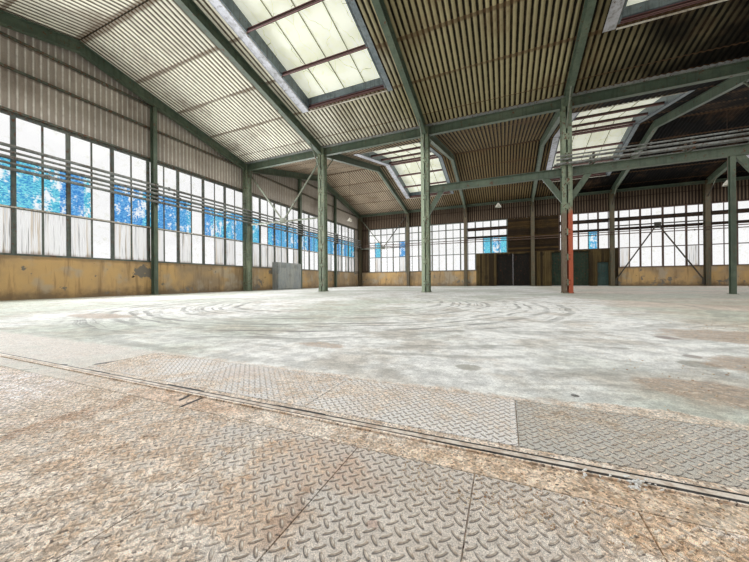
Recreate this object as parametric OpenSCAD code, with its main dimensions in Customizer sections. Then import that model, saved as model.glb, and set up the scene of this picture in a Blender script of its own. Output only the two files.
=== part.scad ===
// Two-nave steel factory hall, millimetres, +Z up, floor level at the top of the slab.
// X runs along the valley between the naves, Y runs across them.

/* [Hall grid] */
// Distance between two frames
bay = 6000; // [5000:100:7200]
// Number of bays
bays = 6; // [2:1:6]
// Span of one nave, outer wall to valley
span = 17000; // [14000:100:18500]
// Top of the rafter at the side wall and at the valley
eave_h = 8150; // [6800:50:9600]
// Top of the rafter at the ridge
ridge_h = 10050; // [9000:50:12000]
// Inset of the two end frames from the gable walls
end_in = 280; // [270:5:340]

/* [Floor] */
// Thickness of the concrete floor
floor_t = 150; // [120:10:250]
// Width of one pit cover plate
plate_w = 375; // [310:5:450]
// Number of pit cover plates
plate_n = 20; // [4:1:20]
// Length of the pit cover plates
plate_len = 1900; // [1500:10:2200]
// Length of one trench cover plate
tplate_len = 870; // [700:10:1000]
// Width of the trench cover plates
tplate_w = 430; // [350:10:500]
// Thickness of all cover plates
plate_t = 8; // [6:1:12]
// Width of the steel edge angle beside the pit
rail_w = 50; // [40:1:60]
// Depth to which the edge angle is let into the floor
rail_t = 9; // [6:1:14]

/* [Walls and windows] */
// Thickness of the plastered dado wall
dado_t = 250; // [200:10:365]
// Height of the window sill
sill_h = 1550; // [1200:10:1800]
// Height of the lowest transom
tran1_h = 3210; // [2950:10:3500]
// Height of the middle transom
tran2_h = 4900; // [4000:10:5200]
// Height of the upper transom in the side walls
tran3_h = 5750; // [5300:10:6000]
// Height of the window head
head_h = 6450; // [6200:10:7000]
// Width of one window unit
unit_w = 1450; // [1200:5:1460]
// Face width of a mullion
mull_w = 120; // [80:5:160]
// Depth of the window frames
frame_d = 90; // [60:5:120]
// Thickness of the glass
glass_t = 8; // [4:1:12]
// Depth of the corrugated wall and roof sheets
sheet_d = 50; // [40:2:60]

/* [Steel frame] */
// Depth of a column section along Y
col_d = 380; // [300:10:450]
// Flange width of each profile of the twin valley columns
twin_b = 160; // [120:5:180]
// Gap between the twin profiles
twin_gap = 55; // [30:5:90]
// Flange width of the side columns
side_b = 300; // [200:10:340]
// Depth of the side columns
side_d = 340; // [240:10:400]
// Depth of a rafter
raf_d = 420; // [320:10:500]
// Flange width of a rafter
raf_b = 220; // [160:10:300]
// Depth of a purlin
purlin_h = 140; // [100:5:180]
// Depth of the corrugated lining sheets between rafters and purlins
lining_d = 45; // [30:1:60]
// Depth of the valley beam
vbeam_d = 400; // [300:10:450]

/* [Roof and rooflights] */
// Width of a rooflight
light_w = 4000; // [3000:50:4400]
// Distance of a rooflight's lower edge from the ridge
light_run = 5720; // [4000:10:6000]
// Overhang of the roof past the inner face of the side walls
over = 350; // [320:10:420]
// Height of the rooflight kerb
kerb_h = 300; // [200:10:400]

/* [Gates and doors] */
// Height of the gate openings
gate_h = 3080; // [2600:10:3100]
// Width of a gate opening
gate_w = 2900; // [2400:10:3000]
// Thickness of a gate leaf
leaf_t = 50; // [40:2:70]
// Width of the small door opening
door_w = 850; // [700:10:900]
// Height of the small door opening
door_h = 2080; // [1950:10:2300]
// Height of the switch cabinet
cab_h = 2000; // [1700:10:2300]
// Width of the switch cabinet
cab_w = 2700; // [2200:10:2900]
// Depth of the switch cabinet
cab_d = 500; // [400:10:650]

/* [Pipes] */
// Height of the lowest pipe at the left gable wall
pipe_z = 4380; // [4000:10:4600]
// Diameter of the wall pipes
pipe_dia = 110; // [80:5:140]
// Drop of the pipe bridge beam's underside below the top of the rafter at the valley
bridge_drop = 3250; // [2950:10:3650]
// Depth of the pipe bridge beam
bridge_d = 340; // [260:10:400]

/* [Hidden] */
L = bay * bays;
W = 2 * span;
half = span / 2;
rise = (ridge_h - eave_h) / half;
ang = atan(rise);
kk = 1 / cos(ang);
z0 = floor_t;
vy = 0;
twin_w = 2 * twin_b + twin_gap;
naves = [-half, half];
fx = [for (i = [0:bays]) -L/2 + i*bay + (i == 0 ? end_in : i == bays ? -end_in : 0)];
gable_u = [for (k = [-2, -1, 1, 2]) k * span / 3];
n_gab = 2 * floor((W/2 - 1000) / unit_w);
n_side = floor((L - 2200) / unit_w);
side_u0 = -n_side * unit_w / 2;
k_a = round(n_side * 0.348);
k_b = round(n_side * 0.435);
k_c = round(n_side * 0.565);
k_d = round(n_side * 0.696);
ua = side_u0 + k_a * unit_w;
ub = side_u0 + k_b * unit_w;
uc = side_u0 + k_c * unit_w;
ud = side_u0 + k_d * unit_w;
side_u1 = side_u0 + n_side * unit_w;
gab_u1 = n_gab / 2 * unit_w;
gate_a = ua + 1950 + gate_w / 2;
gate_b = ud - 2100 - gate_w / 2;
door_u = ud - 675 - door_w / 2;
purlin_off = [200, 1950, 3850, light_run, 7600 * span / 17000];
light_bays = [for (i = [1:2:bays - 1]) i];
plate_x = -plate_n * plate_w / 2 - 2500;
tplate_x = plate_x + 1264;
pit_y1 = -W/2 + 2920;
rail_y = -W/2 + 3060;
strip_y0 = -W/2 + 3130;
cab_y = span/3 - cab_w/2 - 366.667;
brace_v = 4300;
brace_l = 5000;
knee_z = eave_h - 1250;
bridge_z = eave_h - bridge_drop;
batten_step = (eave_h - 1850) / 6;
lamp_z = 5800;
ga = ua + mull_w / 2;
gd = ud - mull_w / 2;
gx = 14;
pin_out = 22;
pin_d = 16;
run_gap = 0.08;
gate_hinges = [450, 1600, 2750];
door_hinges = [350, 1050, 1750];
cab_hinges = [300, 1700];
gap = 0.5;
bridge_top = z0 + bridge_z + bridge_d;

// Plain helpers

function isec(h, b, tf, tw, dy = 0) = [[-b/2, -h/2 + dy], [b/2, -h/2 + dy], [b/2, -h/2 + tf + dy],
  [tw/2, -h/2 + tf + dy], [tw/2, h/2 - tf + dy], [b/2, h/2 - tf + dy], [b/2, h/2 + dy],
  [-b/2, h/2 + dy], [-b/2, h/2 - tf + dy], [-tw/2, h/2 - tf + dy], [-tw/2, -h/2 + tf + dy],
  [-b/2, -h/2 + tf + dy]];
function zr(off) = z0 + ridge_h - rise * abs(off);
function zp(off) = zr(off) + (lining_d + 2*gap) * kk;
function zu(off) = zp(off) + (purlin_h + gap) * kk;
function chev(hs, top, t) = [[-hs, top - rise*hs], [0, top], [hs, top - rise*hs],
  [hs, top - rise*hs - t], [0, top - t], [-hs, top - rise*hs - t]];

module slab(x0, x1, y0, y1, a, b) translate([x0, y0, a]) cube([x1 - x0, y1 - y0, b - a]);
module across(x0, x1) translate([x0, 0, 0]) rotate([90, 0, 90]) linear_extrude(height = x1 - x0) children();
module on_far() translate([0, W/2, 0]) children();
module on_near() rotate([0, 0, 180]) translate([0, W/2, 0]) children();
module on_left() translate([-L/2, 0, 0]) rotate([0, 0, 90]) children();
module on_right() translate([L/2, 0, 0]) rotate([0, 0, -90]) children();
module post(x, y, h, b, d, tf, tw, a = z0)
  translate([x, y, a]) linear_extrude(height = h) polygon(isec(d, b, tf, tw));
module beam_x(x0, x1, y, zc, h, b, tf, tw) translate([0, y, zc]) across(x0, x1) polygon(isec(h, b, tf, tw));
module beam_y(x, y0, y1, zc, h, b, tf, tw)
  translate([x, y1, zc]) rotate([90, 0, 0]) linear_extrude(height = y1 - y0) polygon(isec(h, b, tf, tw));
module rod(p, q, d) {
  v = q - p;
  len = norm(v);
  translate(p) rotate([0, acos(v[2] / len), atan2(v[1], v[0])]) cylinder(h = len, d = d, $fn = 8);
}

// Floor

module floor_slab() color([0.58, 0.57, 0.54]) difference() {
  slab(-L/2 - dado_t, L/2 + dado_t, -W/2 - dado_t, W/2 + dado_t, 0, z0);
  slab(plate_x - 4, plate_x + plate_n*plate_w + 4, pit_y1 - plate_len - 4, pit_y1 + 4, z0 - plate_t, z0 + 5);
  slab(tplate_x - 4, tplate_x + 7*tplate_len + 4, strip_y0 - 4, strip_y0 + tplate_w + 4, z0 - plate_t, z0 + 5);
  slab(plate_x - 1, plate_x + plate_n*plate_w + 1, rail_y - rail_w/2 - 2, rail_y + rail_w/2 + 2, z0 - rail_t, z0 + 5);
}

module pit_cover_plates() color([0.45, 0.42, 0.39])
  for (i = [0:plate_n - 1])
    slab(plate_x + i*plate_w + 2, plate_x + (i + 1)*plate_w - 2, pit_y1 - plate_len, pit_y1,
      z0 - plate_t, z0);

module trench_cover_plates() color([0.47, 0.46, 0.44])
  for (i = [0:6])
    slab(tplate_x + i*tplate_len + 2, tplate_x + (i + 1)*tplate_len - 2,
      strip_y0, strip_y0 + tplate_w, z0 - plate_t, z0);

module floor_edge_angle() color([0.36, 0.33, 0.31])
  translate([0, rail_y, z0]) across(plate_x, plate_x + plate_n*plate_w)
    polygon([[-rail_w/2, -rail_t], [rail_w/2, -rail_t], [rail_w/2, 1], [-rail_w/2 + 6, 1],
      [-rail_w/2 + 6, 6], [-rail_w/2, 6]]);

// Walls below the windows

module dado_sides() color([0.72, 0.60, 0.40]) {
  on_near() slab(-L/2 - dado_t, L/2 + dado_t, 0, dado_t, z0, z0 + sill_h);
  on_far() {
    slab(-L/2 - dado_t, ga, 0, dado_t, z0, z0 + sill_h);
    slab(gd, L/2 + dado_t, 0, dado_t, z0, z0 + sill_h);
  }
}

module dado_gables() color([0.72, 0.60, 0.40]) {
  on_left() slab(-W/2, W/2, 0, dado_t, z0, z0 + sill_h);
  on_right() slab(-W/2, W/2, 0, dado_t, z0, z0 + sill_h);
}

module gate_wall() color([0.45, 0.38, 0.27]) on_far() {
  slab(ga, gate_a - gate_w/2, 0, dado_t, z0, z0 + tran1_h - 30);
  slab(gate_a + gate_w/2, gate_b - gate_w/2, 0, dado_t, z0, z0 + tran1_h - 30);
  slab(gate_b + gate_w/2, door_u - door_w/2, 0, dado_t, z0, z0 + tran1_h - 30);
  slab(door_u + door_w/2, gd, 0, dado_t, z0, z0 + tran1_h - 30);
  slab(gate_a - gate_w/2 + 1, gate_a + gate_w/2 - 1, 0, dado_t, z0 + gate_h, z0 + tran1_h - 30);
  slab(gate_b - gate_w/2 + 1, gate_b + gate_w/2 - 1, 0, dado_t, z0 + gate_h, z0 + tran1_h - 30);
  slab(door_u - door_w/2 + 1, door_u + door_w/2 - 1, 0, dado_t, z0 + door_h, z0 + tran1_h - 30);
}

// Window ribbons

module grid(u0, n, a, b, trans, top = true) {
  for (k = [0:n]) slab(u0 + k*unit_w - mull_w/2, u0 + k*unit_w + mull_w/2, 0, frame_d, a, b);
  for (z = trans) slab(u0 - mull_w/2, u0 + n*unit_w + mull_w/2, 0, frame_d, z - 40, z + 40);
  slab(u0 - mull_w/2, u0 + n*unit_w + mull_w/2, 0, frame_d, a, a + 70);
  if (top) slab(u0 - mull_w/2, u0 + n*unit_w + mull_w/2, 0, frame_d, b - 80, b);
}

module window_frames_far() color([0.36, 0.40, 0.37]) on_far() {
  grid(side_u0, k_b, z0 + tran1_h - 30, z0 + head_h, [z0 + tran2_h, z0 + tran3_h]);
  grid(side_u0, k_a, z0 + sill_h, z0 + tran1_h - 30 - gap, [], false);
  grid(uc, n_side - k_c, z0 + tran1_h - 30, z0 + head_h, [z0 + tran2_h, z0 + tran3_h]);
  grid(ud, n_side - k_d, z0 + sill_h, z0 + tran1_h - 30 - gap, [], false);
}

module window_frames_near() color([0.36, 0.40, 0.37]) on_near()
  grid(side_u0, n_side, z0 + sill_h, z0 + head_h, [z0 + tran1_h, z0 + tran2_h, z0 + tran3_h]);

module window_frames_gables() color([0.36, 0.40, 0.37]) {
  on_left() grid(-gab_u1, n_gab, z0 + sill_h, z0 + head_h, [z0 + tran1_h, z0 + tran2_h]);
  on_right() grid(-gab_u1, n_gab, z0 + sill_h, z0 + head_h, [z0 + tran1_h, z0 + tran2_h]);
}

module pane(u0, u1, a, b) slab(u0, u1, frame_d, frame_d + glass_t, a, b);

module window_glass() color([0.85, 0.92, 0.95, 0.4]) {
  on_far() {
    pane(side_u0, ub, z0 + tran1_h - 30, z0 + head_h);
    pane(side_u0, ua, z0 + sill_h, z0 + tran1_h - 30 - gap);
    pane(uc, side_u1, z0 + tran1_h - 30, z0 + head_h);
    pane(ud, side_u1, z0 + sill_h, z0 + tran1_h - 30 - gap);
  }
  on_near() pane(side_u0, side_u1, z0 + sill_h, z0 + head_h);
  on_left() pane(-gab_u1, gab_u1, z0 + sill_h, z0 + head_h);
  on_right() pane(-gab_u1, gab_u1, z0 + sill_h, z0 + head_h);
}

// Corrugated cladding above and beside the windows

module side_sheet() {
  e = L/2 + sheet_d;
  u = side_u1 + mull_w/2;
  slab(-e, e, 0, sheet_d, z0 + head_h, zu(half) - sheet_d*rise - gap);
  slab(-e, -u, 0, sheet_d, z0 + sill_h, z0 + head_h - gap);
  slab(u, e, 0, sheet_d, z0 + sill_h, z0 + head_h - gap);
}

module side_cladding() color([0.50, 0.47, 0.43]) {
  on_near() side_sheet();
  on_far() side_sheet();
}

module gable_sheet() {
  u = gab_u1 + mull_w/2;
  slab(-span, -u, 0, sheet_d, z0 + sill_h, z0 + head_h - gap);
  slab(u, span, 0, sheet_d, z0 + sill_h, z0 + head_h - gap);
  slab(-span, span, 0, sheet_d, z0 + head_h, z0 + eave_h - 1);
  for (s = [0, 1]) mirror([s, 0, 0]) rotate([90, 0, 0]) mirror([0, 0, 1]) linear_extrude(height = sheet_d)
    polygon([[190, z0 + eave_h - 1 + gap], [span, z0 + eave_h - 1 + gap], [span, zu(half) - gap],
      [half, zu(0) - gap], [190, zu(half - 190) - gap]]);
}

module gable_cladding() color([0.52, 0.49, 0.45]) {
  on_left() gable_sheet();
  on_right() gable_sheet();
}

module cladding_rails() color([0.33, 0.37, 0.34]) {
  for (s = [0, 1]) mirror([s, 0, 0]) {
    slab(-L/2, -L/2 + 80, -span + 20, span - 20, z0 + eave_h - 230, z0 + eave_h - 150);
    slab(-L/2, -L/2 + 80, -span + 20, span - 20, z0 + head_h + 20, z0 + head_h + 100);
    for (c = naves) slab(-L/2, -L/2 + 80, c - 760/rise, c + 760/rise, z0 + ridge_h - 1070, z0 + ridge_h - 990);
  }
}

module infill_boards() color([0.36, 0.27, 0.18]) on_far()
  slab(ub + mull_w/2, uc - mull_w/2, 0, 40, z0 + tran1_h - 30, z0 + head_h);

// Steel skeleton

module twin_column(x) {
  for (s = [-1, 1]) post(x + s*(twin_b + twin_gap)/2, vy, eave_h - 12, twin_b, col_d, 18, 12, z0);
  for (z = [for (i = [0:5]) 450 + i*batten_step, eave_h - 1650]) for (s = [-1, 1])
    slab(x - twin_gap/2 - 60, x + twin_gap/2 + 60, vy + s*(col_d/2 + 5) - 6, vy + s*(col_d/2 + 5) + 6,
      z0 + z - 130, z0 + z + 130);
  slab(x - twin_w/2, x + twin_w/2, vy - col_d/2, vy + col_d/2, z0 + eave_h - 13, z0 + eave_h);
  slab(x - 210, x + 210, vy - 260, vy + 260, z0, z0 + 25);
}

module valley_columns() color([0.42, 0.47, 0.42]) for (x = fx) twin_column(x);

module side_columns() color([0.40, 0.44, 0.39])
  for (x = fx, s = [-1, 1]) {
    post(x, s*(W/2 - side_d/2), eave_h, side_b, side_d, 18, 12, z0);
    slab(x - 200, x + 200, s > 0 ? W/2 - side_d - 80 : -W/2, s > 0 ? W/2 : -W/2 + side_d + 80, z0, z0 + 22);
  }

module gable_posts() color([0.38, 0.43, 0.39])
  for (s = [-1, 1], u = gable_u) {
    hh = eave_h + rise*(half - abs(abs(u) - half)) - raf_d*kk - rise*90 - 1;
    translate([s*(L/2 - 200), u, z0]) rotate([0, 0, 90]) linear_extrude(height = hh)
      polygon(isec(240, 180, 14, 10));
    slab(s*(L/2 - 200) - 170, s*(L/2 - 200) + 170, u - 150, u + 150, z0, z0 + 20);
  }

module rafter(x, c, ya, yb) translate([0, c, 0])
  for (r = [[ya, -1], [1, yb]]) intersection() {
    union() {
      across(x - raf_b/2, x + raf_b/2) polygon(chev(half + 100, zr(0), 18));
      across(x - raf_b/2, x + raf_b/2) polygon(chev(half + 100, zr(0) - raf_d*kk + 18, 18));
      across(x - 7, x + 7) polygon(chev(half + 100, zr(0), raf_d*kk));
    }
    slab(x - raf_b, x + raf_b, r[0], r[1], z0 + 5000, z0 + ridge_h + 500);
  }

module rafters_front_nave() color([0.36, 0.42, 0.36])
  for (x = fx) rafter(x, -half, -half + side_d, half - col_d/2);

module rafters_back_nave() color([0.36, 0.42, 0.36])
  for (x = fx) rafter(x, half, -half + col_d/2, half - side_d);

module plated_beam(x0, x1, zt, h, b) {
  beam_x(x0, x1, vy, zt - h/2, h, b, 18, 12);
  for (x = [x0, x1 - 14]) slab(x, x + 14, vy - col_d/2, vy + col_d/2, zt - h, zt);
}

module valley_beams() color([0.40, 0.45, 0.40])
  for (i = [0:bays - 1]) plated_beam(fx[i] + twin_w/2, fx[i + 1] - twin_w/2, z0 + eave_h, vbeam_d, 200);

module eaves_beams() color([0.38, 0.42, 0.38])
  for (i = [0:bays - 1], s = [-1, 1])
    beam_x(fx[i] + 6, fx[i + 1] - 6, s*(W/2 - side_d/2), z0 + eave_h - 110, 220, 180, 14, 10);

module knee(x, y0, s) intersection() {
  rod([x, y0 - s*300, z0 + knee_z - 330], [x, y0 + s*1500, z0 + knee_z + 1650], 70);
  across(x - 100, x + 100) polygon([[y0, z0 + knee_z - 900], [y0 + s*2600, z0 + knee_z - 900],
    [y0 + s*2600, zr(half - 2600 - (abs(y0) < 1000 ? col_d/2 : side_d)) - raf_d*kk - gap],
    [y0, zr(half - (abs(y0) < 1000 ? col_d/2 : side_d)) - raf_d*kk - gap]]);
}

module bar_xz(x1, z1, x2, z2, w, ya, yb) {
  v = [x2 - x1, z2 - z1];
  n = [-v[1], v[0]] * (w / 2 / norm(v));
  translate([0, yb, 0]) rotate([90, 0, 0]) linear_extrude(height = yb - ya)
    polygon([[x1, z1] - n, [x2, z2] - n, [x2, z2] + n, [x1, z1] + n]);
}

module k_brace(x0, x1, y, inset, top, zm) {
  xm = (x0 + x1) / 2;
  za = top > 0 ? z0 + eave_h - top : z0 + 330;
  d = top > 0 ? 60 : -60;
  for (e = [-1, 1]) {
    xa = e < 0 ? x0 + inset : x1 - inset - 330;
    bar_xz(xm + e*((x1 - x0)/2 - inset - 120), za, xm + e*60, z0 + zm + d, 85, y + 6 + gap, y + 66);
    slab(xa, xa + 330, y - 6, y + 6, za - 210, za + 210);
  }
  slab(xm - 220, xm + 220, y - 6, y + 6, z0 + zm - 170, z0 + zm + 170);
  slab(x0 + inset, x1 - inset, y - 66, y - 6 - gap, z0 + zm - d - 45, z0 + zm - d + 45);
}

module frame_bracing() color([0.46, 0.50, 0.45]) {
  for (i = [1:bays - 1], s = [-1, 1]) {
    knee(fx[i], s*col_d/2, s);
    knee(fx[i], s*(W/2 - side_d), -s);
  }
  for (s = [-1, 1]) {
    k_brace(fx[0], fx[1], s*(W/2 - 250), 6, 480, brace_v);
    if (bays > 4) k_brace(fx[bays - 2], fx[bays - 1], s*(W/2 - 250), 6, 0, brace_l);
  }
  k_brace(fx[0], fx[1], vy, twin_gap/2 + twin_b/2 + 6, vbeam_d + 250, brace_v);
}

// Roof

module purlins() color([0.35, 0.22, 0.20])
  for (c = naves, o = purlin_off, s = [-1, 1])
    translate([0, c + s*o, zp(o)]) rotate([-s*ang, 0, 0]) across(-L/2, L/2)
      polygon(isec(purlin_h, 74, 9, 7, purlin_h/2));

module slope(v1, e, d) {
  translate([-e, light_run*kk + gap, 0]) cube([2*e, v1 - light_run*kk - gap, d]);
  for (i = [-1:2:bays]) {
    x0 = i < 0 ? -e : -L/2 + (i + 0.5)*bay + light_w/2;
    x1 = i + 2 > bays - 1 ? e : -L/2 + (i + 2.5)*bay - light_w/2;
    if (x1 > x0) translate([x0, 16, 0]) cube([x1 - x0, light_run*kk - 16, d]);
  }
}

module both_slopes(z, near, far, e, d) translate([0, 0, z]) {
  rotate([-ang, 0, 0]) slope(far * kk, e, d);
  mirror([0, 1, 0]) rotate([-ang, 0, 0]) slope(near * kk, e, d);
}

// Weather sheets over the purlins, lining sheets under them
module roof_nave(c, near, far) translate([0, c, 0]) {
  both_slopes(zu(0), near, far, L/2 + sheet_d + 60, sheet_d);
  both_slopes(zr(0) + gap*kk, min(near, half) - (near < half ? 90 : 14),
    min(far, half) - (far < half ? 90 : 14), L/2 - gap, lining_d);
}

module roof_sheets_front_nave() color([0.55, 0.52, 0.47]) roof_nave(-half, half + over, half - 120);
module roof_sheets_back_nave() color([0.55, 0.52, 0.47]) roof_nave(half, half - 120, half + over);

// Upstand at the side of a rooflight, notched over the purlins that cross the opening
module kerb_side() difference() {
  across(light_w/2 - 60, light_w/2 - gap)
    polygon([[gap, zr(gap) + 2], [light_run, zr(light_run) + 2],
      [light_run, zu(light_run) + kerb_h - gap], [gap, zu(gap) + kerb_h - gap]]);
  for (o = purlin_off) translate([0, o, zp(o)]) rotate([-ang, 0, 0])
    slab(light_w/2 - 80, light_w/2 + 20, -42, 42, -lining_d - 50, purlin_h + 4);
}

module rooflight_kerbs() color([0.55, 0.57, 0.58])
  for (c = naves, i = light_bays, s = [0, 1]) translate([-L/2 + (i + 0.5)*bay, c, 0]) mirror([0, s, 0]) {
    for (e = [0, 1]) mirror([e, 0, 0]) kerb_side();
    across(-light_w/2 + 60 + gap, light_w/2 - 60 - gap)
      polygon([[light_run - 60, zu(light_run - 60)], [light_run, zu(light_run)],
        [light_run, zu(light_run) + kerb_h - gap], [light_run - 60, zu(light_run - 60) + kerb_h - gap]]);
  }

module rooflight_panes() color([0.93, 0.93, 0.84, 0.6])
  for (c = naves, i = light_bays, s = [0, 1]) translate([-L/2 + (i + 0.5)*bay, c, 0]) mirror([0, s, 0])
    across(-light_w/2 - 40, light_w/2 + 40)
      polygon([[gap, zu(gap) + kerb_h], [light_run + 40, zu(light_run + 40) + kerb_h],
        [light_run + 40, zu(light_run + 40) + kerb_h + 20], [gap, zu(gap) + kerb_h + 20]]);

module ridge_caps() color([0.60, 0.60, 0.58])
  for (c = naves, i = [0:2:bays]) {
    x0 = i == 0 ? -L/2 - sheet_d - 60 : -L/2 + (i - 0.5)*bay + light_w/2 + 45;
    x1 = i == bays ? L/2 + sheet_d + 60 : min(-L/2 + (i + 1.5)*bay - light_w/2 - 45, L/2 + sheet_d + 60);
    translate([0, c, 0]) across(x0, x1) polygon(chev(260, zu(0) + sheet_d*kk + 12.3, 12));
  }

module valley_gutter() color([0.66, 0.68, 0.68])
  translate([0, vy, z0 + eave_h]) across(-L/2 - sheet_d - 60, L/2 + sheet_d + 60)
    polygon([[-185, 0], [185, 0], [185, 170], [179, 170], [179, 8], [-179, 8], [-179, 170], [-185, 170]]);

// Pipes and lamps

module bridge_knee(x, s) intersection() {
  translate([x, vy, z0 + bridge_z - 900]) mirror([s > 0 ? 0 : 1, 0, 0]) rotate([0, -57, 0])
    translate([-500, -50, -110]) cube([2300, 100, 220]);
  slab(s > 0 ? x - 74 : x - 1500, s > 0 ? x + 1500 : x + 74, vy - 100, vy + 100,
    z0 + bridge_z - 2000, z0 + bridge_z - gap);
}

module pipe_bridge() color([0.38, 0.43, 0.38]) {
  for (i = [min(2, bays - 1):bays - 1]) {
    plated_beam(fx[i] + twin_w/2, fx[i + 1] - twin_w/2, bridge_top, bridge_d, 180);
    bridge_knee(fx[i] + twin_w/2, 1);
    bridge_knee(fx[i + 1] - twin_w/2, -1);
  }
  if (bays > 4) {
    post(fx[bays - 2] - 950, vy, bridge_z - gap, 140, 140, 10, 8, z0);
    slab(fx[bays - 2] - 1060, fx[bays - 2] - 840, vy - 110, vy + 110, z0, z0 + 15);
  }
}

bridge_x0 = fx[min(3, bays - 1)];
module bridge_pipes() color([0.62, 0.64, 0.63])
  for (q = [[1, 52, 110], [-1, 52, 110], [1, 242, 90], [-1, 242, 90], [-1, 402, 60]])
    translate([bridge_x0 - 400, vy + q[0]*(col_d/2 + 75 + q[2]/2), bridge_top + q[1] + q[2]/2])
      rotate([0, 90, 0]) cylinder(h = L/2 - 30 - bridge_x0 + 400, d = q[2], $fn = 24);

module gable_pipes() color([0.66, 0.68, 0.68])
  for (i = [0:4]) {
    d = i % 2 == 1 ? pipe_dia*0.75 : pipe_dia;
    translate([-L/2 + 480 + d/2, W/2 - 500, z0 + pipe_z + i*190]) rotate([90, 0, 0])
      cylinder(h = W - 1000, d = d, $fn = 24);
  }

module pipe_brackets() color([0.35, 0.38, 0.36]) {
  for (u = gable_u) slab(-L/2 + 320, -L/2 + 480 - gap, u - 30, u + 30, z0 + pipe_z - 120, z0 + pipe_z + 900);
  for (x = [bridge_x0 + 900:bay/2:L/2 - 500]) {
    y1 = col_d/2 + 200;
    slab(x - 40, x + 40, vy - y1, vy + y1, bridge_top, bridge_top + 52);
    for (s = [-1, 1]) {
      slab(x - 40, x + 40, vy + s*(col_d/2 + 30) - 10, vy + s*(col_d/2 + 30) + 10,
        bridge_top + 51, bridge_top + 402);
      slab(x - 40, x + 40, s > 0 ? col_d/2 + 20 : -y1, s > 0 ? y1 : -col_d/2 - 20,
        bridge_top + 202, bridge_top + 242);
    }
    slab(x - 40, x + 40, -y1 + 30, -col_d/2 - 20, bridge_top + 372, bridge_top + 402);
  }
}

module far_wall_pipes() color([0.55, 0.57, 0.57])
  for (z = [4360, 4560]) translate([-L/2 + 300, W/2 - side_d - 35, z0 + z]) rotate([0, 90, 0])
    cylinder(h = L - 600, d = 70, $fn = 20);

module pendant_lamps() color([0.85, 0.85, 0.82])
  for (i = [0:2:bays - 1]) translate([-L/2 + i*bay + 3200, half + purlin_off[0], z0 + lamp_z]) {
    translate([0, 0, 300]) cylinder(h = zr(purlin_off[0]) - z0 - lamp_z - 303, d = 24, $fn = 20);
    cylinder(h = 301, d1 = 420, d2 = 120, $fn = 24);
  }

// Gates, side door and switch cabinet

module at_jamb(u, s) translate([u, W/2 + dado_t, 0]) mirror([s > 0 ? 0 : 1, 0, 0]) children();

module leaf(w, h, hinges) difference() {
  union() {
    slab(gx, w, -leaf_t, 0, z0 + 12, z0 + h);
    for (z = hinges) {
      slab(6, 320, -1, 10, z0 + z - 30, z0 + z + 30);
      translate([0, pin_out, z0 + z - 30]) cylinder(h = 60, d = 34, $fn = 32);
    }
  }
  for (z = hinges) translate([0, pin_out, z0 + z - 40]) cylinder(h = 80, d = pin_d + 2*run_gap, $fn = 32);
}

module pintle(hinges) for (z = hinges) {
  slab(-50, 8, 0, pin_out + 10, z0 + z - 65, z0 + z - 35);
  translate([0, pin_out, z0 + z - 36]) cylinder(h = 74, d = pin_d, $fn = 32);
}

module hinge_pintles() color([0.25, 0.26, 0.25]) {
  for (g = [gate_a, gate_b], s = [-1, 1]) at_jamb(g - s*gate_w/2, s) pintle(gate_hinges);
  at_jamb(door_u + door_w/2, -1) pintle(door_hinges);
  for (s = [-1, 1], z = cab_hinges) at_cab(s) {
    slab(-40, 28, -18, -gap, z0 + z - 45, z0 + z - 25);
    translate([20, -8, z0 + z - 26]) cylinder(h = 52, d = 10, $fn = 32);
  }
}

module gate_leaf(g, s) at_jamb(g - s*gate_w/2, s) leaf(gate_w/2 - 5, gate_h - 10, gate_hinges);

module gate_a_leaf_left() color([0.20, 0.24, 0.21]) gate_leaf(gate_a, 1);
module gate_a_leaf_right() color([0.20, 0.24, 0.21]) gate_leaf(gate_a, -1);
module gate_b_leaf_left() color([0.27, 0.37, 0.31]) gate_leaf(gate_b, 1);
module gate_b_leaf_right() color([0.27, 0.37, 0.31]) gate_leaf(gate_b, -1);
module side_door() color([0.22, 0.38, 0.38])
  at_jamb(door_u + door_w/2, -1) leaf(door_w - 10, door_h - 10, door_hinges);

module at_cab(s) translate([-L/2 + cab_d, cab_y, 0]) mirror([0, s > 0 ? 1 : 0, 0])
  translate([0, -cab_w/2, 0]) children();

module switch_cabinet() color([0.52, 0.55, 0.56]) translate([-L/2, cab_y, 0]) {
  a = z0 + 120 + gap;
  b = z0 + cab_h - 50 - gap;
  w = cab_w / 2;
  slab(0, cab_d, -w, w, z0, z0 + 120);
  slab(0, cab_d, -w, w, z0 + cab_h - 50, z0 + cab_h);
  slab(0, 40, -w, w, a, b);
  for (s = [-1, 1]) slab(40 + gap, cab_d, s > 0 ? w - 40 : -w, s > 0 ? w : -w + 40, a, b);
  slab(40 + gap, cab_d, -20, 20, a, b);
}

module cab_door(s) at_cab(s) difference() {
  union() {
    slab(6, 36, 12, cab_w/2 - 4, z0 + 90, z0 + cab_h - 15);
    slab(35, 58, cab_w/2 - 110, cab_w/2 - 80, z0 + 950, z0 + 1150);
    for (z = cab_hinges) {
      slab(14, 26, -8, 14, z0 + z - 20, z0 + z + 20);
      translate([20, -8, z0 + z - 20]) cylinder(h = 40, d = 20, $fn = 32);
    }
  }
  for (z = cab_hinges) translate([20, -8, z0 + z - 30]) cylinder(h = 60, d = 10 + 2*run_gap, $fn = 32);
}

module cabinet_door_left() color([0.50, 0.53, 0.54]) cab_door(-1);
module cabinet_door_right() color([0.52, 0.55, 0.56]) cab_door(1);

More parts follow.
